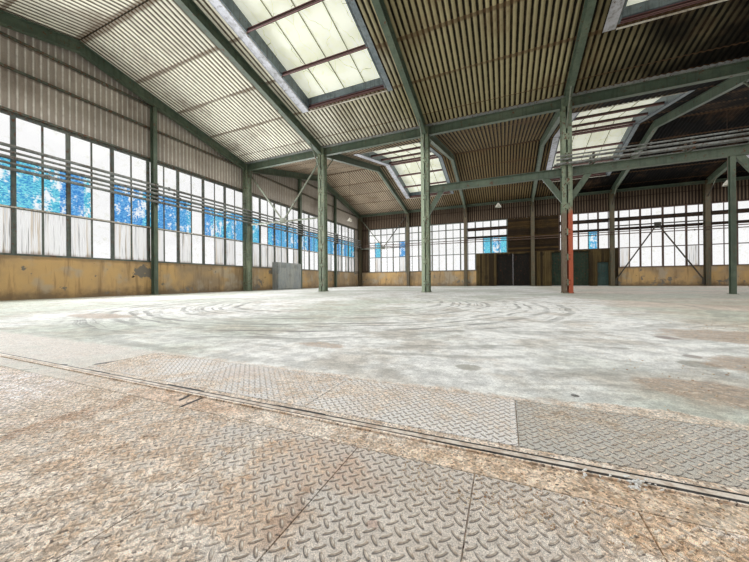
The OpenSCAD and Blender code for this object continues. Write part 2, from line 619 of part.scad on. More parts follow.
floor_slab();
pit_cover_plates();
trench_cover_plates();
floor_edge_angle();
dado_sides();
dado_gables();
gate_wall();
window_frames_far();
window_frames_near();
window_frames_gables();
window_glass();
side_cladding();
gable_cladding();
cladding_rails();
infill_boards();
valley_columns();
side_columns();
gable_posts();
rafters_front_nave();
rafters_back_nave();
valley_beams();
eaves_beams();
frame_bracing();
purlins();
roof_sheets_front_nave();
roof_sheets_back_nave();
rooflight_kerbs();
rooflight_panes();
ridge_caps();
valley_gutter();
pipe_bridge();
bridge_pipes();
gable_pipes();
pipe_brackets();
far_wall_pipes();
pendant_lamps();
hinge_pintles();
gate_a_leaf_left();
gate_a_leaf_right();
gate_b_leaf_left();
gate_b_leaf_right();
side_door();
switch_cabinet();
cabinet_door_left();
cabinet_door_right();
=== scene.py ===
"""Two-nave steel hall: corrugated sheets, panes, plates, finishes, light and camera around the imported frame."""

import math
import random
from contextlib import contextmanager

import bpy
from bpy.props import FloatProperty, FloatVectorProperty, PointerProperty
from mathutils import Matrix, Vector


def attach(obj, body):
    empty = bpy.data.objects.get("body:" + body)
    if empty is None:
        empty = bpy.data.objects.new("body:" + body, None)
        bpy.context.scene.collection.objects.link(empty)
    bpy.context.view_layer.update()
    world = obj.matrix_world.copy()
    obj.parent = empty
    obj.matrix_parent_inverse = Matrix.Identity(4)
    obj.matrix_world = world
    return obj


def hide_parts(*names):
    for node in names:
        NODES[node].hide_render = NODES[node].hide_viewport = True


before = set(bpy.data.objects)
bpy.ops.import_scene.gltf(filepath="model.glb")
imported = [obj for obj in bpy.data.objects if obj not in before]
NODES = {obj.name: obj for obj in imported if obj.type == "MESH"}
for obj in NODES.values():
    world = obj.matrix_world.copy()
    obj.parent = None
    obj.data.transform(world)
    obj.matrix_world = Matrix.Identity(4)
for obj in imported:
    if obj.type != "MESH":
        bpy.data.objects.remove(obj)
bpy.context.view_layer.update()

bl_info = {
    "name": "Steel hall finishes",
    "version": (1, 0, 0),
    "blender": (4, 5, 0),
    "location": "3D View > Sidebar > Hall",
    "description": "Sheets, panes, tear plates, fittings and finishes of a two-nave steel hall",
    "category": "Object",
}

BUILDING = "building"

# Hall measures in metres, as in the part's source
HALF_LENGTH = 18.0
HALF_WIDTH = 17.0
NAVE_MIDDLE = 8.5
FLOOR = 0.15
RISE = 1.9 / 8.5
SLOPE = math.atan(RISE)
ALONG = 1 / math.cos(SLOPE)
RIDGE = 10.20
EAVES_HEIGHT = 8.15
LINING_DEPTH = 0.045
PURLIN_DEPTH = 0.14
SHEET_DEPTH = 0.05
WALL_DEPTH = 0.042
SHEET_THICKNESS = 0.0055
CLEAR = 0.0005
LINING_UNDER = RIDGE + CLEAR
SHEETS_UNDER = RIDGE + (LINING_DEPTH + PURLIN_DEPTH + 3 * CLEAR) * ALONG
PURLINS = (0.20, 1.95, 3.85, 5.72, 7.60)
LIGHT_CENTRES = (-9.0, 3.0, 15.0)
LIGHT_HALF = 2.0
LIGHT_RUN = PURLINS[3]
FRAMES = (-17.72, -12.0, -6.0, 0.0, 6.0, 12.0, 17.72)
POSTS = (-34 / 3, -17 / 3, 17 / 3, 34 / 3)
UNIT = 1.45
WINDOW_FOOT, WINDOW_HEAD, SHEET_LAP = 1.70, 6.60, (4.18, 4.30)
SIDE_START, SIDE_UNITS = -16.675, 23
GABLE_START, GABLE_UNITS = -15.95, 22
PIPE_HEIGHT = FLOOR + 4.38
GATES = (("gate_a", -1.675, "gate_dark"), ("gate_b", 2.975, "gate_green"))
OPENINGS = ((-3.125, -0.225, 3.23), (1.525, 4.425, 3.23), (5.0, 5.85, 2.23))
PIT = dict(x0=-6.25, width=0.375, count=20, y0=-15.98, y1=-14.08)
TRENCH = dict(x0=-4.986, width=0.87, count=7, y0=-13.87, y1=-13.44)
PLATE_MARGIN = 0.016
TEAR_STEP = 0.04
SWEPT_X = -2.68

QUARTER = math.pi / 2
ACROSS, LENGTHWISE = (QUARTER, 0, 0), (0, QUARTER, 0)
WALLS = {
    "far": Matrix.Translation((0, HALF_WIDTH, 0)),
    "near": Matrix.Rotation(math.pi, 4, "Z") @ Matrix.Translation((0, HALF_WIDTH, 0)),
    "left": Matrix.Translation((-HALF_LENGTH, 0, 0)) @ Matrix.Rotation(QUARTER, 4, "Z"),
    "right": Matrix.Translation((HALF_LENGTH, 0, 0)) @ Matrix.Rotation(-QUARTER, 4, "Z"),
}


# ---------------------------------------------------------------- settings

def paint(name, tone):
    """A colour setting, as it is seen"""
    return FloatVectorProperty(name=name, description=f"Colour of the {name.lower()}", subtype="COLOR_GAMMA",
                               size=3, min=0.0, max=1.0, default=tone)


def glow(name, description, strength):
    return FloatProperty(name=name, description=description, default=strength, min=0.0, max=20.0, subtype="FACTOR")


class HallSettings(bpy.types.PropertyGroup):
    """Sizes, colours and lights that a user would change"""
    wave_pitch: FloatProperty(name="Wave pitch", description="Distance between two crests of the corrugated sheets",
                              default=0.2, min=0.05, max=0.4, unit="LENGTH")
    steel_paint: paint("Rafters and beams", (0.29, 0.36, 0.30))
    column_paint: paint("Valley columns", (0.44, 0.50, 0.42))
    purlin_paint: paint("Purlins", (0.27, 0.13, 0.13))
    dado_paint: paint("Plastered walls", (0.80, 0.66, 0.45))
    # The left gate's colour holds its dark paint and painted shade together
    gate_a_paint: paint("Left gate", (0.07, 0.06, 0.05))
    gate_b_paint: paint("Right gate", (0.12, 0.19, 0.15))
    door_paint: paint("Side door", (0.12, 0.26, 0.25))
    cabinet_paint: paint("Switch cabinet", (0.58, 0.61, 0.62))
    sky: glow("Sky", "Strength of the sky as it lights the hall", 0.75)
    windows: glow("Windows", "Strength of the light panels before the windows", 1.2)
    ceiling: glow("Ceiling", "Strength of the light panels under the roofs", 0.72)


def setting(name):
    """What a user has set, without the noise of single precision"""
    value = getattr(bpy.context.scene.hall, name)
    return round(value, 5) if isinstance(value, float) else tuple(round(part, 5) for part in value)


# ---------------------------------------------------------------- node wiring

class Flow:
    """What one socket gives, with the usual signs for sums"""

    def __init__(self, socket):
        self.socket = socket

    def __add__(self, other):
        return calc("ADD", self, other)

    def __radd__(self, other):
        return calc("ADD", other, self)

    def __sub__(self, other):
        return calc("SUBTRACT", self, other)

    def __rsub__(self, other):
        return calc("SUBTRACT", other, self)

    def __mul__(self, other):
        return calc("MULTIPLY", self, other)

    def __truediv__(self, other):
        return calc("DIVIDE", self, other)

    def __abs__(self):
        return calc("ABSOLUTE", self)


def ink(red, green, blue):
    """A colour as it is seen, turned into the linear values that a shader takes"""
    def linear(value):
        return value / 12.92 if value <= 0.04045 else ((value + 0.055) / 1.055) ** 2.4
    return (linear(red), linear(green), linear(blue), 1.0)


def node(tree, kind, values=(), **settings):
    """A new node. Its inputs take numbers, colours as they are seen, or what other nodes give"""
    made_node = tree.nodes.new(kind)
    for name, value in settings.items():
        setattr(made_node, name, value)
    for key, value in dict(values).items():
        socket = made_node.inputs[key]
        if isinstance(value, Flow):
            tree.links.new(value.socket, socket)
        else:
            socket.default_value = ink(*value) if socket.type == "RGBA" else value
    return made_node


def flows(made_node):
    return {socket.name: Flow(socket) for socket in made_node.outputs}


def source(tree, kind, output, **settings):
    """One output of a node that takes nothing"""
    return Flow(node(tree, kind, **settings).outputs[output])


def tree_of(values):
    return next(value.socket.id_data for value in values.values() if isinstance(value, Flow))


def parts(kind, values, **settings):
    """All outputs of a node that other nodes feed"""
    return flows(node(tree_of(values), kind, values, **settings))


def made(kind, values, output=0, **settings):
    """One output of a node that other nodes feed"""
    return Flow(node(tree_of(values), kind, values, **settings).outputs[output])


def calc(operation, first, second=0.0):
    return made("ShaderNodeMath", {0: first, 1: second}, operation=operation)


def held(flow):
    """A sum kept between 0 and 1"""
    flow.socket.node.use_clamp = True
    return flow


def blend(amount, first, second, kind="MIX"):
    return made("ShaderNodeMix", {0: amount, 6: first, 7: second}, 2, data_type="RGBA", blend_type=kind)


def cloud(position, scale, detail=3.0, rough=0.5):
    return made("ShaderNodeTexNoise", {"Vector": position, "Scale": scale, "Detail": detail, "Roughness": rough},
                "Fac")


def between(value, low, high, bottom=0.0, top=1.0):
    """Rises smoothly from bottom to top as the value goes from low to high"""
    return made("ShaderNodeMapRange", {0: value, 1: low, 2: high, 3: bottom, 4: top}, interpolation_type="SMOOTHSTEP")


def stretch(position, x, y, z):
    return made("ShaderNodeVectorMath", {0: position, 1: (x, y, z)}, operation="MULTIPLY")


def shift(position, x, y, z):
    return made("ShaderNodeVectorMath", {0: position, 1: (x, y, z)}, operation="ADD")


def toned(colour, amount):
    """A colour made darker or lighter"""
    return made("ShaderNodeVectorMath", {0: colour, 3: amount}, operation="SCALE")


def split(position):
    return parts("ShaderNodeSeparateXYZ", {0: position})


def here(tree):
    """The place of a surface point in the hall's frame"""
    return source(tree, "ShaderNodeTexCoord", "Object")


def facing_up(tree, low, high):
    return between(split(source(tree, "ShaderNodeNewGeometry", "Normal"))["Z"], low, high)


def chance_of(value):
    """Random values that stay the same over a board, plate or pane"""
    return parts("ShaderNodeTexWhiteNoise", {"W": value}, noise_dimensions="1D")


COLOUR, VECTOR, GEOMETRY = "NodeSocketColor", "NodeSocketVector", "NodeSocketGeometry"
NUMBER, COUNT = "NodeSocketFloat", "NodeSocketInt"


def spaced(values):
    """Python names turned into socket names"""
    return {name.replace("_", " "): value for name, value in values.items()}


def new_group(label, kind, takes, gives):
    """An empty node group with named sockets: a number is the start of a value. Returns it with its inputs"""
    tree = bpy.data.node_groups.new(label, kind)
    for name, start in spaced(takes).items():
        plain = isinstance(start, str)
        socket = tree.interface.new_socket(name=name, in_out="INPUT", socket_type=start if plain else NUMBER)
        if not plain:
            socket.default_value = start
    for name, socket_type in spaced(gives).items():
        tree.interface.new_socket(name=name, in_out="OUTPUT", socket_type=socket_type)
    return tree, flows(tree.nodes.new("NodeGroupInput"))


def shader_group(gives, **takes):
    """Turns a function that wires the inside of a shader group into one that places the group, built once"""
    def wrap(build):
        label = build.__name__.replace("_", " ")

        def place(tree, **values):
            group = bpy.data.node_groups.get(label)
            if not group:
                kinds = {name: COLOUR if name == "Color" else NUMBER for name in gives.split()}
                group, inputs = new_group(label, "ShaderNodeTree", takes, kinds)
                node(group, "NodeGroupOutput", spaced(build(group, inputs)))
            return flows(node(tree, "ShaderNodeGroup", spaced(values), node_tree=group))
        return place
    return wrap


# ---------------------------------------------------------------- shader groups

@shader_group("Color Roughness Height", Coat=COLOUR, Worn=COLOUR, Rust=COLOUR, Dust=COLOUR, Wear=0.3,
              Rust_amount=0.2, Dust_amount=0.4, Streaks=0.3, Size=1.0)
def aged_coat(tree, takes):
    """Paint that fades, runs, rusts and gathers dust"""
    place = here(tree)
    scaled = toned(place, takes["Size"])
    large = cloud(scaled, 0.45, 2)
    middle = cloud(scaled, 3.1, 4, 0.6)
    fine = cloud(scaled, 42.0, 2, 0.6)
    runs = cloud(stretch(scaled, 7, 7, 0.4), 1.0, 3)
    spots = cloud(shift(scaled, 17, 5, 3), 5.3, 5, 0.68)
    blotch = (large + middle) * 0.5 + takes["Wear"] * 0.3
    worn = between(blotch, 0.52, 0.74)
    colour = blend(worn, takes["Coat"], takes["Worn"])
    streak = between(runs, 0.5, 0.7) * takes["Streaks"]
    colour = blend(streak, colour, (0.42, 0.38, 0.33), "MULTIPLY")
    rust = between(spots + takes["Rust amount"] * 0.35, 0.66, 0.75)
    rusty = blend(fine, takes["Rust"], (0.25, 0.14, 0.09))
    colour = blend(rust, colour, rusty)
    lying = facing_up(tree, 0.2, 0.9) * 0.75 + large * 0.3
    dust = held(lying * takes["Dust amount"]) * between(middle, 0.25, 0.6, 0.55, 1.0)
    colour = blend(dust, colour, takes["Dust"])
    grain = between(fine, 0.2, 0.8, 0.86, 1.1)
    colour = toned(colour, grain)
    rough = rust * 0.3 + dust * 0.3
    rough = held(rough + middle * 0.3 + 0.3)
    height = fine * 0.35 + rust * 0.6
    return dict(Color=colour, Roughness=rough, Height=height)


@shader_group("Color Roughness Height", Crest=COLOUR, Hollow=COLOUR, Stain=COLOUR, Across=0.0, Side=1.0, Pitch=0.2,
              Tone=0.5, Lap=0.5, Stain_amount=0.5, Crest_width=0.5)
def sheet_ageing(tree, takes):
    """Corrugated fibre cement: pale crests and dark hollows, partly pale deposits and partly a painted highlight on
    the crests and painted shade in the hollows; stained laps, one tone a sheet
    """
    place = here(tree)
    wave = calc("SINE", takes["Across"] / takes["Pitch"] * math.tau)
    wave = wave * takes["Side"]
    patch = cloud(place, 0.55, 3, 0.55)
    middle = cloud(place, 4.0, 4, 0.65)
    fine = cloud(place, 55.0, 2, 0.6)
    # Crests paler, hollows darker: partly deposits, partly painted highlight and painted shade along the waves
    lean = wave + (middle - 0.5) * 1.1
    edge_at = 0.0 - takes["Crest width"] * 1.6
    crest = held((lean - edge_at) / 0.75)
    colour = blend(crest, takes["Hollow"], takes["Crest"])
    tone = 0.86 + takes["Tone"] * 0.26
    colour = toned(colour, tone)
    low_end = between(takes["Lap"], 0.9, 0.97)
    high_end = between(takes["Lap"], 0.1, 0.02)
    edge = calc("MAXIMUM", low_end, high_end)
    wet = edge * 0.42 + patch
    stain = between(wet + middle * 0.35, 0.66, 1.02) * takes["Stain amount"]
    colour = blend(stain, colour, takes["Stain"])
    spots = between(cloud(shift(place, 3, 9, 1), 9.0, 3, 0.7), 0.68, 0.76)
    colour = blend(spots * 0.5, colour, (0.2, 0.15, 0.11))
    grain = between(fine, 0.2, 0.8, 0.88, 1.08)
    colour = toned(colour, grain)
    rough = held(middle * 0.2 + 0.72)
    return dict(Color=colour, Roughness=rough, Height=fine + stain * 0.5)


@shader_group("Mask", Position=VECTOR, Centre_X=0.0, Centre_Y=0.0, Inner=2.0, Outer=5.0, Fineness=5.0)
def turning_marks(tree, takes):
    """Dark rings that wheels leave round a turning place, thin and broken"""
    axes = split(takes["Position"])
    x = axes["X"] - takes["Centre X"]
    y = axes["Y"] - takes["Centre Y"]
    far = calc("SQRT", x * x + y * y)
    wobble = cloud(takes["Position"], 0.7, 2, 0.5) * 0.5
    lines = made("ShaderNodeTexNoise",
                 {"W": (far + wobble) * takes["Fineness"], "Scale": 1.0, "Detail": 3.0,
                  "Roughness": 0.7}, "Fac", noise_dimensions="1D")
    lines = between(lines, 0.5, 0.6)
    inside = between(far - takes["Inner"], 0.0, 0.8) * between(takes["Outer"] - far, 0.0, 0.3)
    broken = between(cloud(takes["Position"], 1.3, 4, 0.7), 0.34, 0.6)
    return dict(Mask=lines * inside * broken)


@shader_group("Mask", Position=VECTOR, Centre_X=0.0, Centre_Y=0.0, Long=1.0, Wide=1.0, Ragged=0.5, Detail=1.5)
def blot(tree, takes):
    """A soft oval patch with a ragged edge"""
    axes = split(takes["Position"])
    x = (axes["X"] - takes["Centre X"]) / takes["Long"]
    y = (axes["Y"] - takes["Centre Y"]) / takes["Wide"]
    far = calc("SQRT", x * x + y * y)
    rag = cloud(takes["Position"], takes["Detail"], 5, 0.65) - 0.5
    return dict(Mask=between(far + rag * takes["Ragged"], 1.0, 0.7))


def patch_at(place, x, y, long, wide, ragged, detail):
    return blot(place.socket.id_data, Position=place, Centre_X=x, Centre_Y=y, Long=long, Wide=wide, Ragged=ragged,
                Detail=detail)["Mask"]


@shader_group("Mask", Position=VECTOR, X0=0.0, Y0=0.0, X1=1.0, Y1=0.0, Half_width=0.01)
def dark_slot(tree, takes):
    """Painted shadow along a straight narrow gap between two points of the floor"""
    axes = split(takes["Position"])
    along_x = takes["X1"] - takes["X0"]
    along_y = takes["Y1"] - takes["Y0"]
    from_x = axes["X"] - takes["X0"]
    from_y = axes["Y"] - takes["Y0"]
    square = along_x * along_x + along_y * along_y
    reach = held((from_x * along_x + from_y * along_y) / square)
    off_x = from_x - along_x * reach
    off_y = from_y - along_y * reach
    off = calc("SQRT", off_x * off_x + off_y * off_y)
    return dict(Mask=between(off / takes["Half width"], 1.15, 0.85))


@shader_group("Shade", U=0.0, V=0.0)
def tear_dirt(tree, takes):
    """Painted shadow on the near side of the raised tears of a plate: both families, on their 40 mm squares"""

    def family(start, way, lower):
        u = takes["U"] - start
        v = takes["V"] - (start + lower)
        off_u = u - calc("ROUND", u / TEAR_STEP) * TEAR_STEP
        off_v = v - calc("ROUND", v / TEAR_STEP) * TEAR_STEP
        one = (off_u - off_v) * 0.7071
        two = (off_u + off_v) * 0.7071
        along, over = (one, two) if way > 0 else (two, one)
        along = along / 0.0145
        over = over / 0.0044
        return calc("SQRT", along * along + over * over)

    near = calc("MINIMUM", family(0.0, 1, 0.0), family(TEAR_STEP / 2, -1, 0.0))
    # The same outlines moved 3 mm to the near side give the painted shadow below each tear
    below = calc("MINIMUM", family(0.0, 1, 0.003), family(TEAR_STEP / 2, -1, 0.003))
    return dict(Shade=between(below, 1.35, 0.95) * between(near, 0.8, 1.0))


@shader_group("Color Height", Position=VECTOR)
def sandy_ground(tree, takes):
    """Sand and fine gravel: grains each with a tone of its own, pale and dark crumbs between them"""
    grains = parts("ShaderNodeTexVoronoi", {"Vector": takes["Position"], "Scale": 150.0}, feature="F1")
    each = split(grains["Color"])
    drift = cloud(takes["Position"], 14.0, 4, 0.7)
    colour = blend(between(drift, 0.38, 0.62), (0.82, 0.72, 0.62), (0.98, 0.92, 0.86))
    grain = between(each["X"], 0.0, 1.0, 0.62, 1.34)
    colour = toned(colour, grain)
    colour = blend(between(each["Y"], 0.9, 0.93, 0.0, 0.75), colour, (0.98, 0.95, 0.9))
    colour = blend(between(each["Z"], 0.93, 0.96, 0.0, 0.85), colour, (0.24, 0.17, 0.12))
    height = each["X"] * 0.5 + drift
    return dict(Color=colour, Height=height)


@shader_group("Mask", Position=VECTOR, Dusting=0.0, Clean_X=0.0)
def plate_dust(tree, takes):
    """Where sand lies on the floor plates: drifts, less of it on the swept middle"""
    large = cloud(takes["Position"], 0.9, 3, 0.6)
    middle = cloud(takes["Position"], 5.5, 5, 0.7)
    small = cloud(takes["Position"], 34.0, 3, 0.7)
    off = abs(split(takes["Position"])["X"] - takes["Clean X"])
    swept = between(off + middle * 0.5, 0.8, 0.4)
    heap = large * 0.45 + middle * 0.35
    heap = heap + small * 0.25 + takes["Dusting"]
    return dict(Mask=between(heap, 0.5, 0.62) * (1.0 - swept * 0.75))


# ---------------------------------------------------------------- finishes

FINISHES = {}


def finish_maker(build):
    """Registers a finish that comes once, under the name of its function"""
    FINISHES[build.__name__] = build
    return build


def finish_kind(build):
    """Turns a function of a tree and values into one that registers a finish: a name and those values"""
    def add(name, *values, **more):
        FINISHES[name] = lambda tree: build(tree, *values, **more)
    return add


def finish(name):
    """The named material, built when it is first asked for"""
    label = name + "_finish"
    material = bpy.data.materials.get(label)
    if not material:
        material = bpy.data.materials.new(label)
        material.use_nodes = True
        tree = material.node_tree
        tree.nodes.clear()
        shader = node(tree, "ShaderNodeBsdfPrincipled", FINISHES[name](tree))
        node(tree, "ShaderNodeOutputMaterial", {0: Flow(shader.outputs[0])})
    return material


def relief(height, strength, depth):
    return made("ShaderNodeBump", {"Strength": strength, "Distance": depth, "Height": height})


def surface(colour, rough, height, bump=0.3, depth=0.002, metal=0.0, shine=0.5):
    """What an opaque surface gives its shader"""
    return {"Base Color": colour, "Roughness": rough, "Normal": relief(height, bump, depth),
            "Metallic": metal, "Specular IOR Level": shine}


def aged_paint(tree, coat, worn, wear, rust, dust, streaks, size):
    return aged_coat(tree, Coat=coat, Worn=worn, Rust=(0.47, 0.27, 0.16), Dust=(0.66, 0.61, 0.52), Wear=wear,
                     Rust_amount=rust, Dust_amount=dust, Streaks=streaks, Size=size)


def painted(aged, colour=None, metal=0.0, shine=0.5):
    return surface(colour or aged["Color"], aged["Roughness"], aged["Height"], 0.25, 0.003, metal, shine)


@finish_kind
def coated(tree, coat, worn, wear, rust, dust, streaks, size, metal=0.0, shine=0.5):
    """A painted or bare metal finish. coat is a colour or the name of a setting"""
    tone = setting(coat) if isinstance(coat, str) else coat
    return painted(aged_paint(tree, tone, worn, wear, rust, dust, streaks, size), None, metal, shine)


coated("steel_dark", (0.25, 0.3, 0.26), (0.34, 0.37, 0.32), 0.4, 0.45, 0.5, 0.4, 2.0)
coated("steel_green", "steel_paint", (0.37, 0.43, 0.36), 0.35, 0.2, 0.35, 0.35, 1.2)
coated("kerb_zinc", (0.34, 0.39, 0.42), (0.46, 0.51, 0.54), 0.4, 0.15, 0.2, 0.5, 1.5, 0.3)
coated("ridge_zinc", (0.56, 0.56, 0.54), (0.66, 0.66, 0.63), 0.4, 0.25, 0.5, 0.3, 1.5, 0.3)
coated("gutter_zinc", (0.62, 0.64, 0.65), (0.72, 0.73, 0.72), 0.4, 0.25, 0.3, 0.5, 1.5, 0.4)
coated("pipe_silver", (0.6, 0.62, 0.62), (0.42, 0.44, 0.44), 0.45, 0.3, 0.55, 0.5, 2.5, 0.5)
coated("pipe_grey", (0.36, 0.29, 0.27), (0.27, 0.21, 0.19), 0.35, 0.45, 0.3, 0.3, 2.5, 0.2)
coated("lamp_enamel", (0.8, 0.8, 0.76), (0.66, 0.64, 0.58), 0.3, 0.15, 0.4, 0.3, 6.0)
coated("hinge_steel", (0.26, 0.24, 0.22), (0.34, 0.31, 0.28), 0.4, 0.55, 0.3, 0.2, 8.0, 0.6)
# The left gate is near black: its dark paint and painted shade together
coated("gate_dark", "gate_a_paint", (0.1, 0.09, 0.07), 0.4, 0.2, 0.05, 0.5, 1.8, shine=0.15)
coated("gate_green", "gate_b_paint", (0.17, 0.24, 0.19), 0.4, 0.25, 0.15, 0.5, 1.8, shine=0.15)
coated("girt_brown", (0.12, 0.09, 0.07), (0.2, 0.14, 0.11), 0.4, 0.25, 0.2, 0.4, 2.0, shine=0.15)
coated("door_teal", "door_paint", (0.18, 0.32, 0.3), 0.35, 0.25, 0.2, 0.5, 2.2)
coated("cabinet_grey", "cabinet_paint", (0.66, 0.67, 0.65), 0.3, 0.15, 0.3, 0.5, 2.5)
coated("flashing_zinc", (0.84, 0.85, 0.89), (0.7, 0.71, 0.73), 0.3, 0.1, 0.2, 0.45, 1.2, 0.3)
coated("band_zinc", (0.45, 0.5, 0.53), (0.56, 0.6, 0.62), 0.4, 0.12, 0.2, 0.4, 1.5, 0.25)
coated("white_board", (0.88, 0.86, 0.82), (0.68, 0.63, 0.57), 0.35, 0.15, 0.2, 0.5, 2.0)
coated("pane_rib", (0.74, 0.74, 0.64), (0.58, 0.57, 0.47), 0.4, 0.15, 0.1, 0.4, 2.0)
coated("bolt_steel", (0.36, 0.35, 0.31), (0.28, 0.24, 0.2), 0.5, 0.7, 0.3, 0.1, 9.0, 0.5)


@finish_maker
def valley_green(tree):
    """Pale green columns, red lead and rust on the lower part of the middle one, and a painted highlight on one
    flange of the column at x = -6
    """
    aged = aged_paint(tree, setting("column_paint"), (0.55, 0.6, 0.5), 0.35, 0.3, 0.3, 0.45, 2.0)
    axes = split(here(tree))
    ragged = cloud(here(tree), 3.0, 4, 0.6) * 1.2
    low = between(axes["Z"] + ragged, 4.3, 3.9)

    def near_x(x, reach):
        return calc("LESS_THAN", abs(axes["X"] - x), reach)

    red = near_x(0.11, 0.085) * low
    colour = blend(red, aged["Color"], (0.72, 0.36, 0.24))
    beige = near_x(-0.11, 0.085) * low
    colour = blend(beige * 0.8, colour, (0.47, 0.38, 0.32))
    # Painted highlight: the flange of the column at x = -6 that faces the left gable, made paler
    pale = near_x(-6.11, 0.09) * 0.75
    colour = blend(pale, colour, (0.72, 0.78, 0.68))
    return painted(aged, colour)


@finish_maker
def purlin_maroon(tree):
    """Dull maroon paint, with a painted highlight along the middle of the lower face"""
    aged = aged_paint(tree, setting("purlin_paint"), (0.2, 0.1, 0.09), 0.4, 0.25, 0.2, 0.3, 2.0)
    axes = split(here(tree))
    off = abs(abs(axes["Y"]) - NAVE_MIDDLE)
    near = None
    for line in PURLINS:
        gap = abs(off - line)
        near = gap if near is None else calc("MINIMUM", near, gap)
    # Painted highlight: a pale strip down the middle of each purlin's lower face
    middle = between(near, 0.016, 0.01)
    colour = blend(middle * 0.8, aged["Color"], (0.62, 0.46, 0.47))
    return painted(aged, colour)


@finish_kind
def by_wall(tree, coat, worn, far_coat, far_worn, split_x):
    """A paint that is another colour on the far wall, right of split_x"""
    axes = split(here(tree))
    far = calc("GREATER_THAN", axes["Y"], 16.0) * calc("GREATER_THAN", axes["X"], split_x)
    return painted(aged_paint(tree, blend(far, coat, far_coat), blend(far, worn, far_worn),
                              0.4, 0.3, 0.3, 0.5, 1.6))


by_wall("frame_paint", (0.29, 0.33, 0.31), (0.4, 0.43, 0.4), (0.24, 0.16, 0.14), (0.33, 0.24, 0.2), 2.0)
by_wall("brace_green", (0.5, 0.54, 0.48), (0.4, 0.42, 0.36), (0.22, 0.22, 0.19), (0.17, 0.15, 0.13), -14.0)
by_wall("wall_column", (0.27, 0.33, 0.28), (0.36, 0.41, 0.34), (0.38, 0.34, 0.25), (0.3, 0.3, 0.23), -18.0)


@finish_kind
def sheet_finish(tree, crest, hollow, stain, side, axis, amount, width=0.25, sooty=None):
    """A fibre cement finish. axis is the direction across the waves; sooty holds painted shade: the colours of crests
    and hollows in the middle of the hall, then those at its right end, darker away from the left gable's windows"""
    place = here(tree)
    axes = split(place)
    tone = source(tree, "ShaderNodeAttribute", "Fac", attribute_name="sheet_tone")
    lap = source(tree, "ShaderNodeAttribute", "Fac", attribute_name="lap")
    crests, hollows = crest, hollow
    if sooty:
        # Painted shade: crests and hollows darken from the left end towards the middle and the right end of the hall
        drift = (cloud(place, 0.35, 3, 0.6) - 0.5) * 9.0
        along = axes["X"] + drift
        first = between(along, -13.5, -5.0)
        second = between(along, -1.5, 4.5)
        crests = blend(second, blend(first, crest, sooty[0]), sooty[2])
        hollows = blend(second, blend(first, hollow, sooty[1]), sooty[3])
        # Painted shade: the back nave's crests and hollows made darker and browner
        back = between(axes["Y"], -0.3, 0.5) * 0.8
        crests = blend(back, crests, (0.62, 0.53, 0.44), "MULTIPLY")
        hollows = blend(back, hollows, (0.5, 0.42, 0.36), "MULTIPLY")
    aged = sheet_ageing(tree, Crest=crests, Hollow=hollows, Stain=stain, Across=axes[axis], Side=side,
                        Pitch=setting("wave_pitch"), Tone=tone, Lap=lap, Stain_amount=amount, Crest_width=width)
    return surface(aged["Color"], aged["Roughness"], aged["Height"], 0.3, 0.004, 0.0, 0.15)


# The lining's last tuple is painted shade for the middle and the right end of the hall
sheet_finish("lining_sheet", (1.0, 0.99, 0.93), (0.38, 0.34, 0.29), (0.36, 0.27, 0.19), -1.0, "X", 0.7, 0.38,
             ((0.66, 0.62, 0.48), (0.11, 0.09, 0.05), (0.06, 0.05, 0.033), (0.015, 0.012, 0.008)))
sheet_finish("roof_sheet", (0.6, 0.58, 0.53), (0.42, 0.4, 0.35), (0.27, 0.28, 0.21), 1.0, "X", 0.75)
sheet_finish("side_sheet", (0.44, 0.38, 0.32), (0.2, 0.16, 0.13), (0.18, 0.13, 0.1), -1.0, "X", 0.65, 0.1)
sheet_finish("gable_sheet", (0.94, 0.93, 0.9), (0.66, 0.62, 0.58), (0.4, 0.34, 0.29), -1.0, "Y", 0.55, -0.35)


